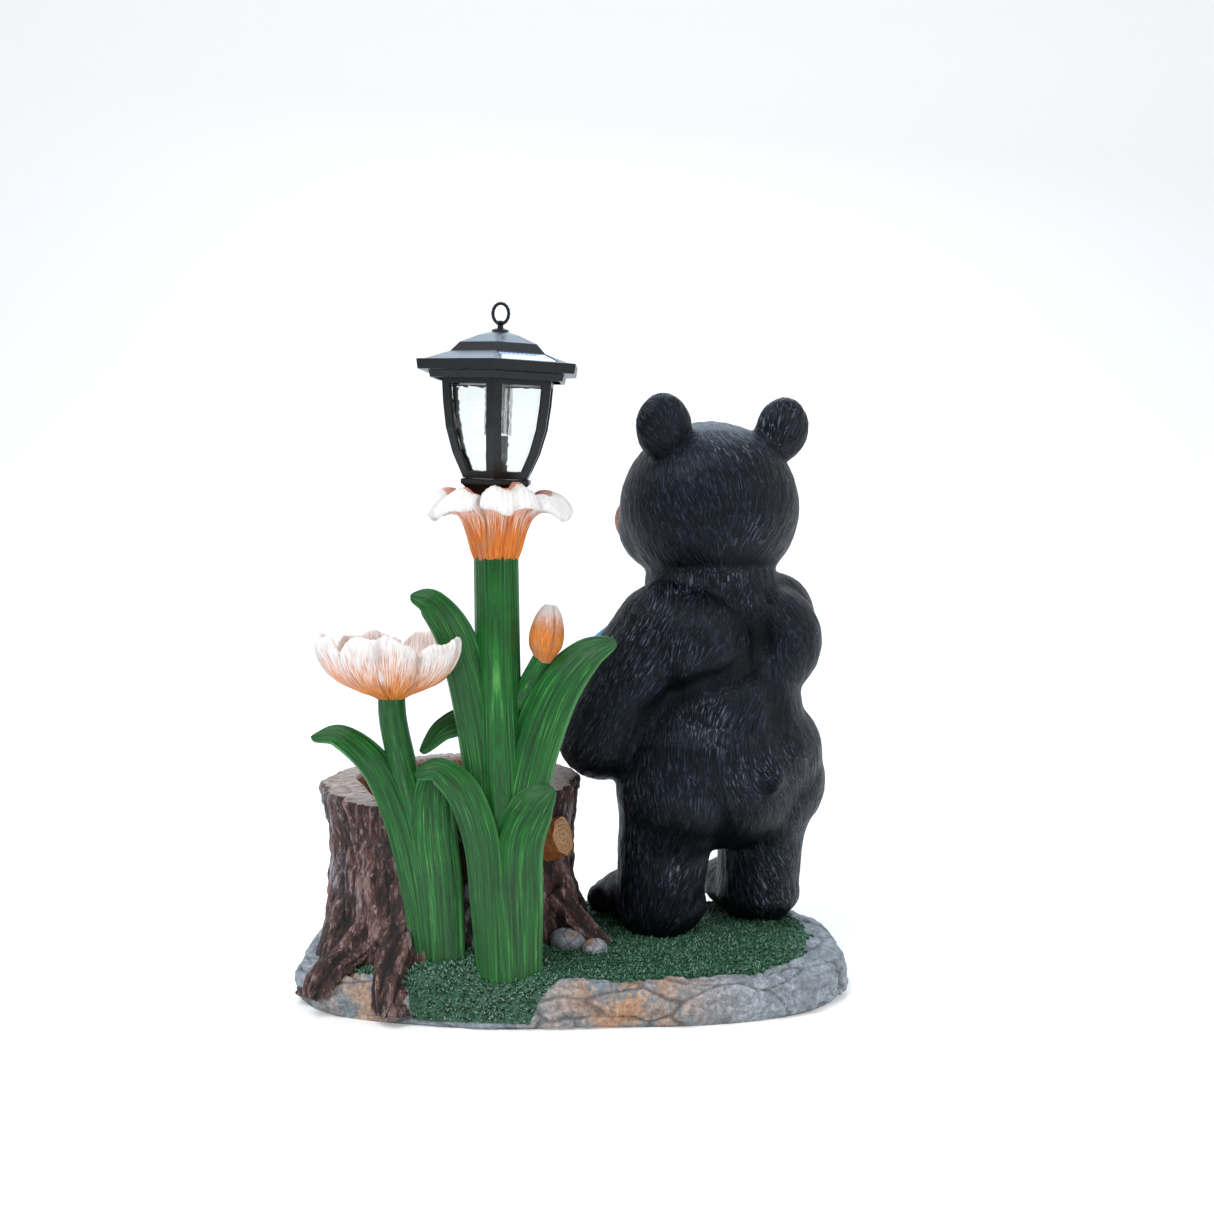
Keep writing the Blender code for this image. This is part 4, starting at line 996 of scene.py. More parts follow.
def make_knot():
    """The stub of a sawn branch on the bark."""
    around = np.array((math.cos(KNOT_ANGLE), math.sin(KNOT_ANGLE), 0))
    out = unit(around + np.array((0, 0, KNOT_RISE)))
    reach = float(stump_radius(KNOT_ANGLE, KNOT_HEIGHT))
    start = np.array((*STUMP_CENTRE, KNOT_HEIGHT)) + around * reach - out * KNOT_SUNK
    length = KNOT_SUNK + KNOT_STAND
    along = np.concatenate([np.linspace(0, length, KNOT_SIDE_ROWS), np.full(KNOT_FACE_ROWS, length)])
    inward = np.concatenate([np.zeros(KNOT_SIDE_ROWS), np.linspace(0.05, 0.98, KNOT_FACE_ROWS)])
    radii = KNOT_RADIUS * np.interp(along, (0, 0.008, 0.015), (1.12, 1.06, 1.0)) * (1 - inward)
    line = start + along[:, None] * out
    face = slice(KNOT_SIDE_ROWS, None)
    line[face] -= out * 0.0006 * (1 - inward[face, None])
    turn = full_turn(KNOT_COLUMNS)[0]
    side = unit(np.cross(out, (0, 0, 1.0)))
    other = np.cross(side, out)
    spokes = np.cos(turn)[:, None] * side + np.sin(turn)[:, None] * other
    uneven = 1 + 0.05 * np.sin(3 * turn + 1) + 0.03 * np.sin(7 * turn)
    grid = line[:, None, :] + (radii[:, None] * uneven)[..., None] * spokes[None]
    rough = 0.0009 * (layered(grid, 0.0035, 91) - 0.5)
    rough[face] = 0.00025 * np.sin(26 * inward[face, None] + 5 * noise(grid[face], 0.004, 93))
    on_side = (along < 0.99 * length)[:, None, None]
    grid = grid + np.where(on_side, grid_normals(grid), out) * rough[..., None]
    inward = inward[:, None]
    grid_piece("knot", grid[:, ::-1], knot_finish(), inward=inward, cut=(inward > 0.02) * 1.0)


def make_pebbles():
    finish = stone_finish()
    ball = ball_grid(60, 110)
    for number, (x, y, radius, flatness) in enumerate(PEBBLES):
        centre = np.array((x * BASE_LENGTH, y * BASE_DEPTH, GROUND + 0.40 * radius))
        spin = np.array(Euler([math.radians(a) for a in (0, 8, 25 * number)]).to_matrix())
        grid = (ball * (radius, 0.8 * radius, flatness * radius)) @ spin.T + centre
        near, second, mark = cells(grid / (1.1 * radius) + number, 97)
        crack = peak(second - near, 0.06)
        out = 0.10 * radius * (layered(grid, 0.9 * radius, 99, 4) - 0.5) - 0.0005 * crack
        grid = grid + grid_normals(grid) * out[..., None]
        grid_piece(f"pebble_{number + 1}", grid, finish, crack=0.6 * crack, mark=0.4 + 0.6 * mark)


# Plants

MAIN_STEM = ((0, 0, 0), (-30, 20, 600), (-70, 50, 1500), (-87, 80, 2470))
SIDE_STEM = (
    (0, 0, 0),
    (-100, 10, 650),
    (-210, 10, 1180),
    (-275, 10, 1500),
    (-285, 10, 1660),
)
BUD_STEM = ((-40, 60, 1450), (56, 40, 1640), (204, 20, 1915))
BUD_DIRECTION = (0.14, 0.0, 1.0)
TALL_LEAF = (
    (-60, -40, 0),
    (-120, -40, 800),
    (-190, -30, 1450),
    (-300, -40, 1960),
    (-450, -50, 2210),
    (-585, -40, 2260),
)
RIGHT_LEAF = (
    (20, -60, 0),
    (20, -70, 700),
    (110, -60, 1250),
    (260, -40, 1670),
    (440, -20, 1900),
    (635, 0, 1990),
)
FRONT_LEAF = (
    (50, -135, -40),
    (40, -165, 350),
    (40, -155, 780),
    (142, -130, 1010),
    (262, -100, 1120),
)
CURLED_LEAF = (
    (-110, -120, -40),
    (-140, -150, 400),
    (-170, -160, 800),
    (-270, -160, 1100),
    (-420, -155, 1240),
    (-555, -150, 1200),
)
LEFT_LEAF = (
    (-60, -60, 0),
    (-132, -60, 450),
    (-226, -50, 900),
    (-374, -40, 1240),
    (-590, -20, 1420),
    (-765, 0, 1400),
)
BROAD_LEAF = (
    (40, -70, 0),
    (10, -80, 450),
    (-30, -80, 850),
    (-30, -70, 1120),
    (20, -60, 1210),
)
REAR_LEAF = (
    (-40, 80, 700),
    (-100, 100, 1100),
    (-240, 100, 1460),
    (-400, 60, 1460),
    (-540, 20, 1310),
)
LEAVES = {
    # name: root, line, width, the way it faces at its foot and at its tip
    "tall_leaf": (MAIN_ROOT, TALL_LEAF, 0.0250, (0.10, -1.0, 0.0), (0.0, -0.9, 0.5)),
    "right_leaf": (MAIN_ROOT, RIGHT_LEAF, 0.0310, (-0.15, -1.0, 0.0), (-0.2, -0.9, 0.4)),
    "front_leaf": (MAIN_ROOT, FRONT_LEAF, 0.0330, (0.0, -1.0, 0.0), (-0.2, -1.0, 0.1)),
    "curled_leaf": (MAIN_ROOT, CURLED_LEAF, 0.0215, (-0.3, -1.0, 0.0), (0.0, -0.8, 0.6)),
    "left_leaf": (SIDE_ROOT, LEFT_LEAF, 0.0200, (-0.15, -1.0, 0.0), (0.0, -0.7, 0.7)),
    "broad_leaf": (SIDE_ROOT, BROAD_LEAF, 0.0285, (0.05, -1.0, 0.0), (0.0, -0.9, 0.5)),
    "rear_leaf": (MAIN_ROOT, REAR_LEAF, 0.0200, (-0.4, -0.9, 0.0), (0.0, -0.6, 0.8)),
}


def from_root(root, offsets):
    """Points given from a plant's root on the ground, the first sunk into it."""
    line = np.array(offsets) / TENTHS + (root.x, root.y, GROUND)
    line[0, 2] -= ROOT_SINK
    return line


def make_leaf(number, name, line, width, facing, tip_facing):
    """A thick strap leaf with a midrib, fine ribs along it and raised edges."""
    line = through(line, LEAF_ROWS)
    t = np.linspace(0, 1, LEAF_ROWS)[:, None]
    tangent = unit(np.gradient(line, axis=0))
    normal = unit(np.array(facing) * (1 - t) + np.array(tip_facing) * t)
    side = unit(np.cross(tangent, normal))
    normal = np.cross(side, tangent)
    half = 0.5 * width * (0.74 + 0.9 * t * (1 - t)) * (1 - t**4) ** 0.55 + 0.0009
    thick = 0.5 * LEAF_THICKNESS * (1.25 - 0.6 * t)
    turn = full_turn(LEAF_COLUMNS)
    u = -np.cos(turn)
    front = np.sin(turn) > 0
    skin = np.sign(np.sin(turn)) * np.abs(np.sin(turn)) ** 0.7 * thick
    ribs = 0.00034 * np.sin(21 * u + 1.6 * np.sin(4 * t)) + 0.00016 * np.sin(43 * u + 2)
    midrib = -0.0016 * peak(u, 0.075) * (1 - 0.4 * t)
    rim = 0.0006 * peak(np.abs(u) - 0.90, 0.06)
    fade = np.clip(half / (0.35 * width), 0, 1)
    lift = skin - LEAF_FOLD * half * u * u + np.where(front, 1, -0.6) * (ribs + midrib + rim) * fade
    grid = line[:, None] + side[:, None] * (u * half)[..., None] + normal[:, None] * lift[..., None]
    # painted highlight: where the pale edge colour goes
    edge = smoothstep(np.abs(u), 0.86, 0.98)
    grid_piece(
        name, grid[:, ::-1], bpy.data.materials["painted_leaf"],
        across=u[:, ::-1], along=t * len(line) * 0.02, kind=3.7 * number, edge=edge[:, ::-1],
    )


def make_stem(number, name, line, radius):
    """A round stem with fine ribs along it."""
    line = through(line, STEM_ROWS)
    t = np.linspace(0, 1, STEM_ROWS)[:, None]
    turn = full_turn(STEM_COLUMNS)
    ribs = 1 + 0.018 * np.sin(11 * turn + 2 * t) + 0.010 * np.sin(29 * turn + 5 * t)
    grid = tube_grid(line, np.ones(STEM_ROWS), STEM_COLUMNS)
    grid = line[:, None] + (grid - line[:, None]) * (radius * (1.12 - 0.12 * t) * ribs)[..., None]
    grid_piece(
        name, grid, bpy.data.materials["painted_leaf"],
        across=1.6 * np.sin(turn), along=t * 2.2, kind=number, edge=0,
    )


def make_flower(name, profile, foot, turn, finish, rim_share, overlap, unevenness):
    """A thin-walled flower: up the outer skin, over the rim and down to the floor inside."""
    rows = through(np.array(profile) / TENTHS, FLOWER_ROWS)
    angle = full_turn(FLOWER_COLUMNS)
    phase = (PETAL_COUNT * angle / TAU + 0.5) % 1
    petal = np.floor(PETAL_COUNT * angle / TAU + 0.5) % PETAL_COUNT
    wave = np.abs(np.cos(0.5 * PETAL_COUNT * angle))
    rise = np.linspace(0, 1, FLOWER_ROWS)[:, None]
    outer = 1 - smoothstep(rise, rim_share, rim_share + 0.06)
    open_share = smoothstep(rise, 0.15, 0.75 * rim_share) * (1 - smoothstep(rise, rim_share + 0.12, 0.98))
    lobe = wave**0.45
    own = lattice(np.stack([petal, 0 * petal, 0 * petal], -1), 131) - 0.5
    lean = lattice(np.stack([petal, 0 * petal, 0 * petal], -1), 137) - 0.5
    radius = rows[:, 3:] + (rows[:, 1:2] - rows[:, 3:]) * lobe
    z = rows[:, 2:3] + (rows[:, :1] - rows[:, 2:3]) * lobe
    waves = own * lobe + 0.28 * np.sin(7 * angle + 2 * rise) * wave
    radius = radius * (1 + unevenness * open_share * waves)
    z = z + 0.030 * unevenness * open_share * (lean * lobe + 0.45 * np.sin(11 * angle + 1.0) * wave)
    a = angle - turn
    grid = np.stack([radius * np.cos(a), radius * np.sin(a), z], -1) + np.array(foot)
    ruffle = 0.0022 * (noise(grid, 0.009, 101) - 0.5) * smoothstep(rise, 0.2, 0.6)
    strokes = np.stack(np.broadcast_arrays(30 * angle, 3 * rise, 0.0), -1)
    ribs = 0.00020 * np.sin(PETAL_COUNT * 15 * angle) + 0.00045 * (noise(strokes, 1.0, 103) - 0.5)
    midrib = 0.0010 * peak(1 - wave, 0.010)
    lap = overlap * (0.5 - phase) * smoothstep(phase, 0.0, 0.04) * open_share
    out = ruffle + ribs * smoothstep(wave, 0.1, 0.4) - midrib + lap * outer
    shape = grid + grid_normals(grid) * out[..., None]
    groove = peak(wave, 0.09) + 0.35 * peak(1 - wave, 0.006)
    groove = np.clip(groove, 0, 1)
    grid_piece(name, shape, finish, around=angle, rise=rise / rim_share, groove=groove, inner=1 - outer)


def make_bud(foot, direction):
    """A closed bud of four petals, whose tips just part."""
    shares = through([[s] for s in (-0.12, 0.0, 0.18, 0.42, 0.68, 0.88, 1.0)], BUD_ROWS)
    widths = through([[w] for w in (0.45, 0.62, 0.93, 1.0, 0.86, 0.62, 0.34)], BUD_ROWS)
    line = np.array(foot) + np.array(direction) * BUD_LENGTH * shares
    angle = full_turn(BUD_COLUMNS)
    wave = np.abs(np.cos(2 * angle + 0.6))
    grid = tube_grid(line, np.ones(BUD_ROWS), BUD_COLUMNS)
    depth = 1 - 0.16 * peak(wave, 0.16) * (0.3 + shares)
    grid = line[:, None] + (grid - line[:, None]) * (BUD_RADIUS * widths * depth)[..., None]
    grid_piece(
        "bud", grid, bpy.data.materials["painted_bud"],
        around=angle, rise=shares, groove=0.8 * peak(wave, 0.15), inner=0,
    )


def make_plants():
    leaf_finish()
    petal_finish("painted_bud", rgb(216, 112, 34), (0.55, 1.0), rgb(220, 150, 90))
    main = from_root(MAIN_ROOT, MAIN_STEM)
    main[-1, 2] = FLOWER_FOOT_HEIGHT + 0.008
    side = from_root(SIDE_ROOT, SIDE_STEM)
    side[-1, 2] = BOWL_FOOT_HEIGHT + 0.008
    bud = from_root(MAIN_ROOT, BUD_STEM)
    bud[0, 2] += ROOT_SINK
    make_stem(31.0, "main_stem", main, STEM_RADIUS)
    make_stem(37.0, "side_stem", side, SIDE_STEM_RADIUS)
    make_stem(43.0, "bud_stem", bud, BUD_STEM_RADIUS)
    for number, (name, (root, offsets, width, facing, tip)) in enumerate(LEAVES.items()):
        make_leaf(number, name, from_root(root, offsets), width, facing, tip)
    trumpet = petal_finish("painted_trumpet", rgb(226, 112, 24), (0.26, 0.60), rgb(214, 132, 104))
    foot = (main[-1, 0], main[-1, 1], FLOWER_FOOT_HEIGHT)
    make_flower("trumpet_flower", TRUMPET, foot, TRUMPET_TURN, trumpet, 0.70, 0.0008, 0.16)
    bowl = petal_finish("painted_bowl", rgb(228, 128, 52), (0.34, 0.84), rgb(244, 232, 226))
    foot = (side[-1, 0], side[-1, 1], BOWL_FOOT_HEIGHT)
    make_flower("open_flower", BOWL, foot, BOWL_TURN, bowl, 0.64, 0.0036, 0.15)
    direction = Vector(BUD_DIRECTION).normalized()
    make_bud(bud[-1] - np.array(direction) * 0.002, direction)


# Bear

FACE_SHIFT = -1.5
BEAR_LOBES = {
    # name: (centre, radii, turn in degrees), mirrored where x is not 0
    "hips": ((0, 0.2, 33.5), (20.8, 18.0, 13.8), (0, 0, 0)),
    "belly": ((0, 6.0, 38.0), (18.0, 18.2, 16.0), (0, 0, 0)),
    "shoulder": ((8.0, -1.5, 57.0), (9.6, 10.0, 9.4), (0, 0, 0)),
    "blade": ((8.4, -4.6, 54.4), (9.8, 10.2, 10.6), (0, 0, 0)),
    "neck": ((0, 2.5, 65.0), (12.8, 12.2, 8.0), (0, 0, 0)),
    "head": ((0, 3.2, 79.2), (17.0, 16.6, 16.2), (0, 0, 0)),
    "cheek": ((5.2, 7.0, 75.5), (10.6, 10.5, 9.4), (0, 0, 0)),
    "muzzle": ((FACE_SHIFT, 20.6, 76.6), (8.2, 8.8, 6.6), (4, 0, 0)),
    "chin": ((FACE_SHIFT, 19.4, 72.8), (5.8, 6.4, 4.0), (0, 0, 0)),
    "ear": ((12.9, -1.8, 93.8), (5.6, 3.4, 6.3), (8, 12, 0)),
    "heel": ((10.7, 1.8, 5.2), (8.3, 8.3, 5.6), (0, 0, 0)),
    "tail": ((0.8, -16.6, 31.6), (2.5, 3.2, 3.6), (20, 0, 0)),
}
NOSE = ((FACE_SHIFT, 28.4, 79.2), (3.3, 2.2, 2.5))
EYE = ((6.2, 17.0, 83.2), (2.1, 2.0, 2.4))
FOOT_SPLAY = 11
FOOT = ((10.9, 8.2, 5.0), (7.3, 11.6, 5.3))
TOE_COUNT = 4
BEAR_LIMBS = {
    # name: points and radii along it
    "torso": (((0, 0.5, 33), 18.0), ((0, 0.5, 44), 16.0), ((0, 0.5, 56), 12.6)),
    "left_leg": (((-9.8, -2.2, 28), 11.6), ((-11.2, 0.2, 18), 8.8), ((-11.6, 1.6, 6), 8.1)),
    "right_leg": (((9.2, -2.2, 28), 11.6), ((10.2, 0.2, 18), 8.4), ((10.4, 1.6, 6), 7.8)),
    "left_arm": (
        ((-12.0, -1.0, 56.8), 9.2),
        ((-18.2, 1.5, 47.5), 9.2),
        ((-22.0, 5.0, 37.6), 8.4),
        ((-15.6, 25.0, 39.0), 6.0),
    ),
    "right_arm": (
        ((11.4, 0, 58.4), 8.8),
        ((15.8, 5, 51.0), 8.0),
        ((16.4, 12, 46.5), 7.4),
        ((8.0, 27.5, 46.5), 5.8),
    ),
}
# Creases pressed into the back: points (x, z) and depth at each
CREASES = (
    (
        (-2.5, 63.0, 1.0),
        (1.5, 57.3, 2.0),
        (0.6, 52.0, 2.0),
        (-4.0, 49.8, 1.5),
        (-11.3, 47.5, 1.4),
        (-17.9, 42.7, 0.9),
    ),
    ((0.6, 52.0, 1.3), (2.6, 46.0, 1.0), (3.4, 42.5, 0.9), (3.4, 37.0, 0.6), (2.6, 34.0, 0.3)),
)
CREASE_WIDTH = 2.2
# Tan paint on the muzzle, the mouth's line and the hollow of an ear
MUZZLE_PAINT = ((FACE_SHIFT, 21.5, 75.6), (9.4, 9.8, 7.6))
MOUTH_HEIGHT = 74.2
NOSE_FOOT = 78
EAR_CUP = ((13.3, 94.2), (3.6, 4.2))
EAR_CUP_DEPTH = 1.3
MOUTH_DEPTH = 0.0011
LOCK_DEPTH = 0.00010
STROKE_DEPTH = 0.00012


def bear_frame():
    """From hundredths of the bear's height to its place on the base."""
    place = Matrix.Translation(BEAR_PLACE.to_3d() + Vector((0, 0, GROUND - 0.0010)))
    return place @ Matrix.Rotation(BEAR_TURN, 4, "Z") @ Matrix.Scale(BEAR_HEIGHT / 100, 4)


def add_ball(bm, centre, radii, turn=(0, 0, 0), steps=BALL_STEPS):
    spin = Euler([math.radians(a) for a in turn]).to_matrix().to_4x4()
    matrix = Matrix.Translation(Vector(centre)) @ spin @ Matrix.Diagonal((*radii, 1))
    bmesh.ops.create_uvsphere(bm, u_segments=steps, v_segments=steps * 5 // 8, radius=1, matrix=matrix)


def add_limb(bm, joints):
    """Balls joined by cones, along a limb."""
    for (start, r0), (end, r1) in zip(joints, joints[1:]):
        start, end = Vector(start), Vector(end)
        turn = (end - start).to_track_quat("Z", "Y").to_matrix().to_4x4()
        matrix = Matrix.Translation((start + end) / 2) @ turn
        bmesh.ops.create_cone(
            bm, cap_ends=True, segments=LIMB_STEPS, radius1=r0, radius2=r1,
            depth=(end - start).length, matrix=matrix,
        )
    for point, radius in joints:
        add_ball(bm, point, (radius,) * 3)


def add_feet(bm):
    (x, y, z), radii = FOOT
    for side in (-1, 1):
        add_ball(bm, (side * x, y, z), radii, (0, 0, -side * FOOT_SPLAY))
        for k in range(TOE_COUNT):
            spread = (k - (TOE_COUNT - 1) / 2) * 3.4
            angle = math.radians(90 - side * FOOT_SPLAY)
            ahead = Vector((math.cos(angle), math.sin(angle), 0)) * (10.6 - 0.35 * spread**2 / 3.4)
            across = Vector((math.sin(angle), -math.cos(angle), 0)) * spread
            centre = Vector((side * x, y, 3.9)) + ahead + across
            add_ball(bm, centre, (1.9, 3.0, 2.9), (0, 0, -side * FOOT_SPLAY), TOE_STEPS)


def bear_skin():
    """One smooth skin over the bear's lobes and limbs."""
    bm = bmesh.new()
    for (x, y, z), radii, turn in BEAR_LOBES.values():
        add_ball(bm, (x, y, z), radii, turn)
        if x > 2:
            add_ball(bm, (-x, y, z), radii, (turn[0], -turn[1], -turn[2]))
    for joints in BEAR_LIMBS.values():
        add_limb(bm, joints)
    add_feet(bm)
    bm.transform(bear_frame())
    mesh = bpy.data.meshes.new("lobes")
    bm.to_mesh(mesh)
    bm.free()
    lobes = new_object("lobes", mesh)
    skin = lobes.modifiers.new("skin", "REMESH")
    skin.mode = "VOXEL"
    skin.voxel_size = BEAR_SKIN
    blend = lobes.modifiers.new("blend", "SMOOTH")
    blend.iterations = BEAR_SMOOTHING
    graph = bpy.context.evaluated_depsgraph_get()
    made = bpy.data.meshes.new_from_object(lobes.evaluated_get(graph))
    bpy.data.objects.remove(lobes, do_unlink=True)
    return made


def mesh_arrays(mesh):
    points = np.empty(3 * len(mesh.vertices), np.float32)
    mesh.vertices.foreach_get("co", points)
    normals = np.empty(3 * len(mesh.vertices), np.float32)
    mesh.vertex_normals.foreach_get("vector", normals)
    return points.reshape(-1, 3).astype(float), normals.reshape(-1, 3).astype(float)


def near_line(points, joints):
    """Distance to a line of joints, and the line's direction at the nearest place."""
    best = np.full(len(points), 1e9)
    way = np.zeros_like(points)
    for start, end in zip(joints, joints[1:]):
        start, end = np.array(start, float), np.array(end, float)
        along = end - start
        t = np.clip((points - start) @ along / along.dot(along), 0, 1)
        distance = np.linalg.norm(points - start - t[:, None] * along, axis=1)
        closer = distance < best
        best = np.where(closer, distance, best)
        way[closer] = along / np.linalg.norm(along)
    return best, way


def fur_flow(p, normals):
    """The way the fur lies at points given in the bear's own hundredths."""
    x, y, z = p.T
    back = np.stack([0.30 * np.sin(0.16 * x), 0.02 * y, -1 + 0 * z], -1)
    head = (-0.022 * x[:, None]) * (1.0, 0, 0) + unit(p - (0, 24, 86)) * 0.5 + (0, 0, -0.8)
    flow = back + (head - back) * smoothstep(z, 61, 68)[:, None]
    for name, joints in BEAR_LIMBS.items():
        if "arm" not in name:
            continue
        line = [point for point, radius in joints]
        distance, way = near_line(p, line)
        share = smoothstep(-distance, -12.5, -8.0) * smoothstep(-z, -64, -58)
        flow = flow + (way + (0, 0, -0.25) - flow) * share[:, None]
    for side in (-1, 1):
        ear = p - (side * 11.5, -1.0, 89)
        share = smoothstep(-np.linalg.norm(p - (side * 12.9, -1.8, 94.5), axis=1), -7.5, -5.0)
        flow = flow + (unit(ear) - flow) * share[:, None]
    wander = np.stack([noise(p, 15.0, seed) - 0.5 for seed in (105, 106, 107)], -1)
    flow = unit(flow) + 0.9 * wander
    flow = flow - normals * (flow * normals).sum(1)[:, None]
    return unit(flow)


def combed(points, flow, width, length, seed):
    """Noise drawn out along the fur, with a mean of 0 and a spread of 1."""
    steps = np.linspace(-0.5, 0.5, 11)
    total = sum(noise(points + flow * (length * s), width, seed) for s in steps)
    return (total - total.mean()) / total.std()


def crease_depth(p, n):
    """How deep the back is pressed in at each point."""
    press = np.zeros(len(p))
    behind = smoothstep(-n[:, 1], 0.1, 0.5)
    for crease in CREASES:
        distance = np.full(len(p), 1e9)
        depth = np.zeros(len(p))
        for x, z, deep in through(crease, 60):
            d = np.hypot(p[:, 0] - x, p[:, 2] - z)
            closer = d < distance
            distance = np.where(closer, d, distance)
            depth = np.where(closer, deep, depth)
        press = np.maximum(press, depth * peak(distance, CREASE_WIDTH) * behind)
    return press


def mouth_line(p):
    """1 on the mouth and on the line from it up to the nose."""
    x, y, z = p[:, 0] - FACE_SHIFT, p[:, 1], p[:, 2]
    smile = peak(z - MOUTH_HEIGHT - 0.06 * x**2, 0.42) * (y > 20) * (np.abs(x) < 5.2)
    lip = peak(x, 0.35) * (y > 24) * (z < NOSE_FOOT) * (z > MOUTH_HEIGHT)
    return np.maximum(smile, lip)


def ear_cups(p, n):
    """1 in the hollows of the ears."""
    (x, z), (wide, high) = EAR_CUP
    cup = np.zeros(len(p))
    for side in (-1, 1):
        d = np.hypot((p[:, 0] - side * x) / wide, (p[:, 2] - z) / high)
        cup = np.maximum(cup, (1 - smoothstep(d, 0.65, 1.0)) * smoothstep(n[:, 1], 0.15, 0.5))
    return cup


def make_bear():
    """The bear's skin with its creases, mouth, ears and locks, and its face."""
    mesh = bear_skin()
    points, normals = mesh_arrays(mesh)
    frame = bear_frame()
    back = np.array(frame.inverted())
    p = points @ back[:3, :3].T + back[:3, 3]
    turned = np.array(Matrix.Rotation(-BEAR_TURN, 3, "Z"))
    n = normals @ turned.T
    world_flow = fur_flow(p, n) @ turned
    press = crease_depth(p, n)
    locks = combed(points, world_flow, *LOCKS, 111)
    fine = combed(points, world_flow, *STROKES, 117)
    centre, reach = MUZZLE_PAINT
    muzzle = 1 - smoothstep(np.linalg.norm((p - centre) / reach, axis=1), 0.96, 1.06)
    mouth = mouth_line(p)
    cup = ear_cups(p, n)
    calm = 1 - 0.75 * muzzle
    # painted shade: marks the creases and the surfaces that face down for near-black paint
    painted_shade = np.clip(press / 1.6 + smoothstep(n[:, 2], -0.1, -0.75), 0, 1)
    out = LOCK_DEPTH * locks * calm + STROKE_DEPTH * fine * calm
    out += 0.01 * BEAR_HEIGHT * (-press - EAR_CUP_DEPTH * cup) - MOUTH_DEPTH * mouth
    lump = 0.0016 * (layered(points, 0.022, 121) - 0.5)
    points = points + normals * (out + lump)[:, None]
    mesh.vertices.foreach_set("co", points.ravel())
    tan = np.clip(muzzle * (1 - mouth) + 0.35 * cup, 0, 1)
    marks = {"flow": world_flow, "tan": tan, "dark": np.clip(mouth, 0, 1), "painted_shade": painted_shade}
    put_values(mesh, marks)
    piece("bear", mesh, fur_finish())
    make_face(frame)


def make_face(frame):
    """Glossy eyes, and the nose with its nostrils."""
    gloss = plain_finish("black_gloss", rgb(14, 12, 12), 0.12, 0.004, 0.0001, Coat_Weight=0.5)
    ball = ball_grid(40, 64)
    matrix = np.array(frame)

    def placed(grid):
        return grid @ matrix[:3, :3].T + matrix[:3, 3]

    for side, name in ((-1, "left_eye"), (1, "right_eye")):
        centre = np.array(EYE[0]) * (side, 1, 1)
        grid_piece(name, placed(ball * EYE[1] + centre), gloss)
    nose = ball * NOSE[1]
    nose[..., 0] *= 1 + 0.22 * np.tanh(nose[..., 2])
    x, z = nose[..., 0], nose[..., 2]
    nostril = sum(np.exp(-(((x - s * 1.35) / 0.6) ** 2 + ((z + 0.35) / 0.5) ** 2)) for s in (-1, 1))
    nose[..., 1] -= 0.55 * nostril * (nose[..., 1] > 0)
    grid_piece("nose", placed(nose + NOSE[0]), gloss)


# Watering can: places in shares of its radius and height

CAN_PROFILE = (
    # height and radius, up the outside, over the rim and down to the floor inside
    (-0.5, 0.90), (-0.5, 0.97), (-0.47, 1.03), (-0.43, 1.04), (-0.40, 0.99), (-0.2, 0.96), (0.1, 0.92),
    (0.34, 0.89), (0.37, 0.94), (0.41, 0.95), (0.44, 0.91), (0.48, 0.93), (0.5, 0.94), (0.5, 0.88),
    (0.46, 0.85), (0.3, 0.84), (0.24, 0.80), (0.23, 0.4), (0.23, 0.04),
)
SPOUT_LINE = ((-0.70, 0, -0.30), (-1.30, -0.14, 0.02), (-1.75, -0.28, 0.32), (-1.95, -0.33, 0.46))
SPOUT_WIDTHS = ((0, 1.45), (0.33, 1.1), (0.75, 0.95), (0.84, 0.95), (0.86, 1.15), (0.98, 1.8), (1.0, 1.72))
HANDLE_LINE = (
    (0.70, 0, 0.30), (1.30, 0, 0.34), (1.72, 0, 0.16), (1.66, 0, -0.14), (1.24, 0, -0.34), (0.80, 0, -0.40),
)


def can_grid(profile, rows, columns):
    """Rings round the can's axis, from (height, radius) in shares of its own."""
    table = through(profile, rows)
    turn = full_turn(columns)
    h, r = table[:, :1], table[:, 1:]
    reach = CAN_RADIUS * r
    local = [reach * np.cos(turn), reach * np.sin(turn), CAN_HEIGHT * h + 0 * turn]
    return in_can(np.stack(local, -1))


def in_can(local):
    spin = np.array(Matrix.Rotation(CAN_TILT, 3, "Y"))
    return local @ spin.T + np.array(bear_frame() @ CAN_PLACE)


def make_can():
    """The open body with its beads, the spout with its rose, and the handle."""
    finish = plain_finish("painted_can", rgb(84, 160, 208), 0.38, 0.010, 0.0003)
    grid_piece("watering_can", can_grid(CAN_PROFILE, CAN_ROWS, CAN_COLUMNS), finish)
    size = np.array((CAN_RADIUS, CAN_RADIUS, CAN_HEIGHT))
    line = through(np.array(SPOUT_LINE) * size, SPOUT_ROWS)
    shares, widths = zip(*SPOUT_WIDTHS)
    radii = SPOUT_RADIUS * np.interp(np.linspace(0, 1, SPOUT_ROWS), shares, widths)
    grid_piece("can_spout", in_can(tube_grid(line, radii, SPOUT_COLUMNS)), finish)
    line = through(np.array(HANDLE_LINE) * size, HANDLE_ROWS)
    handle = tube_grid(line, np.full(HANDLE_ROWS, HANDLE_RADIUS), HANDLE_COLUMNS)
    grid_piece("can_handle", in_can(handle), finish)


# Lantern


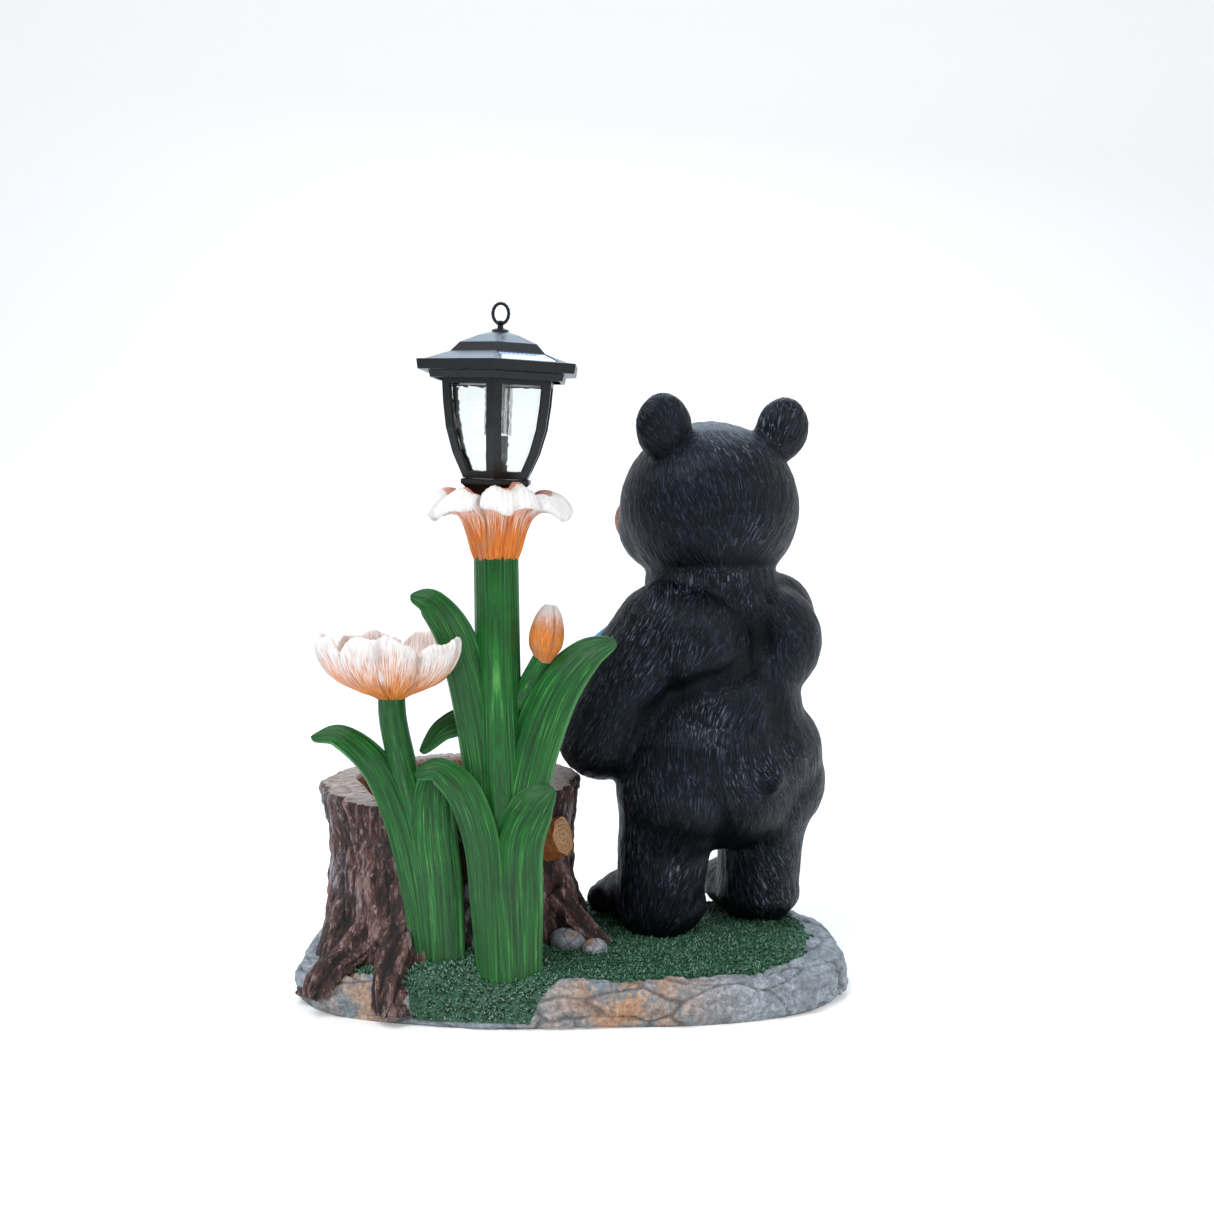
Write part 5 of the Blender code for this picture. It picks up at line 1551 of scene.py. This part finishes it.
def finish_lantern(nodes):
    """Keeps the lantern's own solids, with softened edges and moulded finishes."""
    black = plain_finish("satin_black", rgb(10, 11, 13), 0.34, 0.0022, 0.00006, Specular_IOR_Level=0.36)
    finishes = {
        "lantern_cup": black,
        "lantern_frame": black,
        "lantern_roof": black,
        "hanging_ring": black,
        "light_housing": plain_finish("matt_black", rgb(12, 12, 14), 0.5, 0.003, 0.0001),
        "lantern_liner": clear_finish("clear_pane", (0.93, 0.94, 0.92), 0.00030),
        "light_tube": clear_finish("clear_tube", (0.92, 0.94, 0.95), 0.0001),
        "solar_panel": solar_finish(),
    }
    for name, finish in finishes.items():
        node = nodes[name]
        node.data.materials.clear()
        node.data.materials.append(finish)
        if name in ("lantern_liner", "light_tube"):
            continue
        soft = node.modifiers.new("soft_edges", "BEVEL")
        soft.width = 0.0004 if name != "solar_panel" else 0.0002
        soft.segments = 2
        soft.limit_method = "ANGLE"
        soft.angle_limit = math.radians(30)
        soft.harden_normals = True


def make_lamp():
    """The lamp's small white stem inside the clear tube."""
    low, high = (np.array(v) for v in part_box("light_tube"))
    middle = (low + high) / 2
    heights = np.linspace(low[2] + LAMP_ABOVE_TUBE_END, high[2], LAMP_ROWS)
    radii = np.interp(np.linspace(0, 1, LAMP_ROWS), LAMP_SHARES, LAMP_RADII)
    line = np.stack([middle[0] + 0 * heights, middle[1] + 0 * heights, heights], -1)
    white = plain_finish("lamp_white", rgb(206, 208, 204), 0.3, 0.002, 0.0001)
    grid_piece("lamp", tube_grid(line, radii, LAMP_COLUMNS), white)


# Stage


def make_stage():
    """A pale floor that curves up behind the statue, and soft studio light."""
    turn = np.linspace(0, math.pi / 2, 13)
    bend = np.stack([FLOOR_BACK + FLOOR_BEND * np.sin(turn), FLOOR_BEND * (1 - np.cos(turn))], -1)
    line = np.vstack([(-FLOOR_FRONT, 0.0), bend, (FLOOR_BACK + FLOOR_BEND, FLOOR_HEIGHT)])
    points = [(x, y, z) for y, z in line for x in (-FLOOR_FRONT, FLOOR_FRONT)]
    faces = [(2 * k, 2 * k + 1, 2 * k + 3, 2 * k + 2) for k in range(len(line) - 1)]
    mesh = bpy.data.meshes.new("floor")
    mesh.from_pydata(points, [], faces)
    mesh.shade_smooth()
    floor = new_object("floor", mesh)
    pale = Finish("floor_white", (0.84, 0.84, 0.84), 0.7, Emission_Strength=FLOOR_GLOW)
    pale.set("Emission Color", (1.0, 0.98, 0.96))
    mesh.materials.append(pale.material)
    world = bpy.data.worlds.new("studio")
    bpy.context.scene.world = world
    world.use_nodes = True
    back = world.node_tree.nodes["Background"]
    back.inputs["Color"].default_value = WORLD_COLOUR
    back.inputs["Strength"].default_value = WORLD_STRENGTH
    for name, place, size, power, colour in LIGHTS:
        data = bpy.data.lights.new(name, "AREA")
        data.size = size
        data.energy = power
        data.color = colour
        lamp = new_object(name, data)
        lamp.location = place
        aim = Vector(LIGHT_TARGET) - Vector(place)
        lamp.rotation_euler = aim.to_track_quat("-Z", "Y").to_euler()
    bpy.context.scene.view_settings.view_transform = "Standard"


def make_camera():
    data = bpy.data.cameras.new("camera")
    data.sensor_width = SENSOR
    data.sensor_fit = "HORIZONTAL"
    data.lens = SENSOR * FOCAL_PIXELS / PHOTO_WIDTH
    camera = new_object("camera", data)
    camera.location = CAMERA_PLACE
    camera.rotation_euler = (math.pi / 2 - CAMERA_PITCH, 0, 0)
    bpy.context.scene.camera = camera


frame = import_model()
make_base()
make_stump()
make_roots()
make_knot()
make_pebbles()
make_plants()
make_bear()
make_can()
finish_lantern(frame["nodes"])
make_lamp()
make_stage()
make_camera()
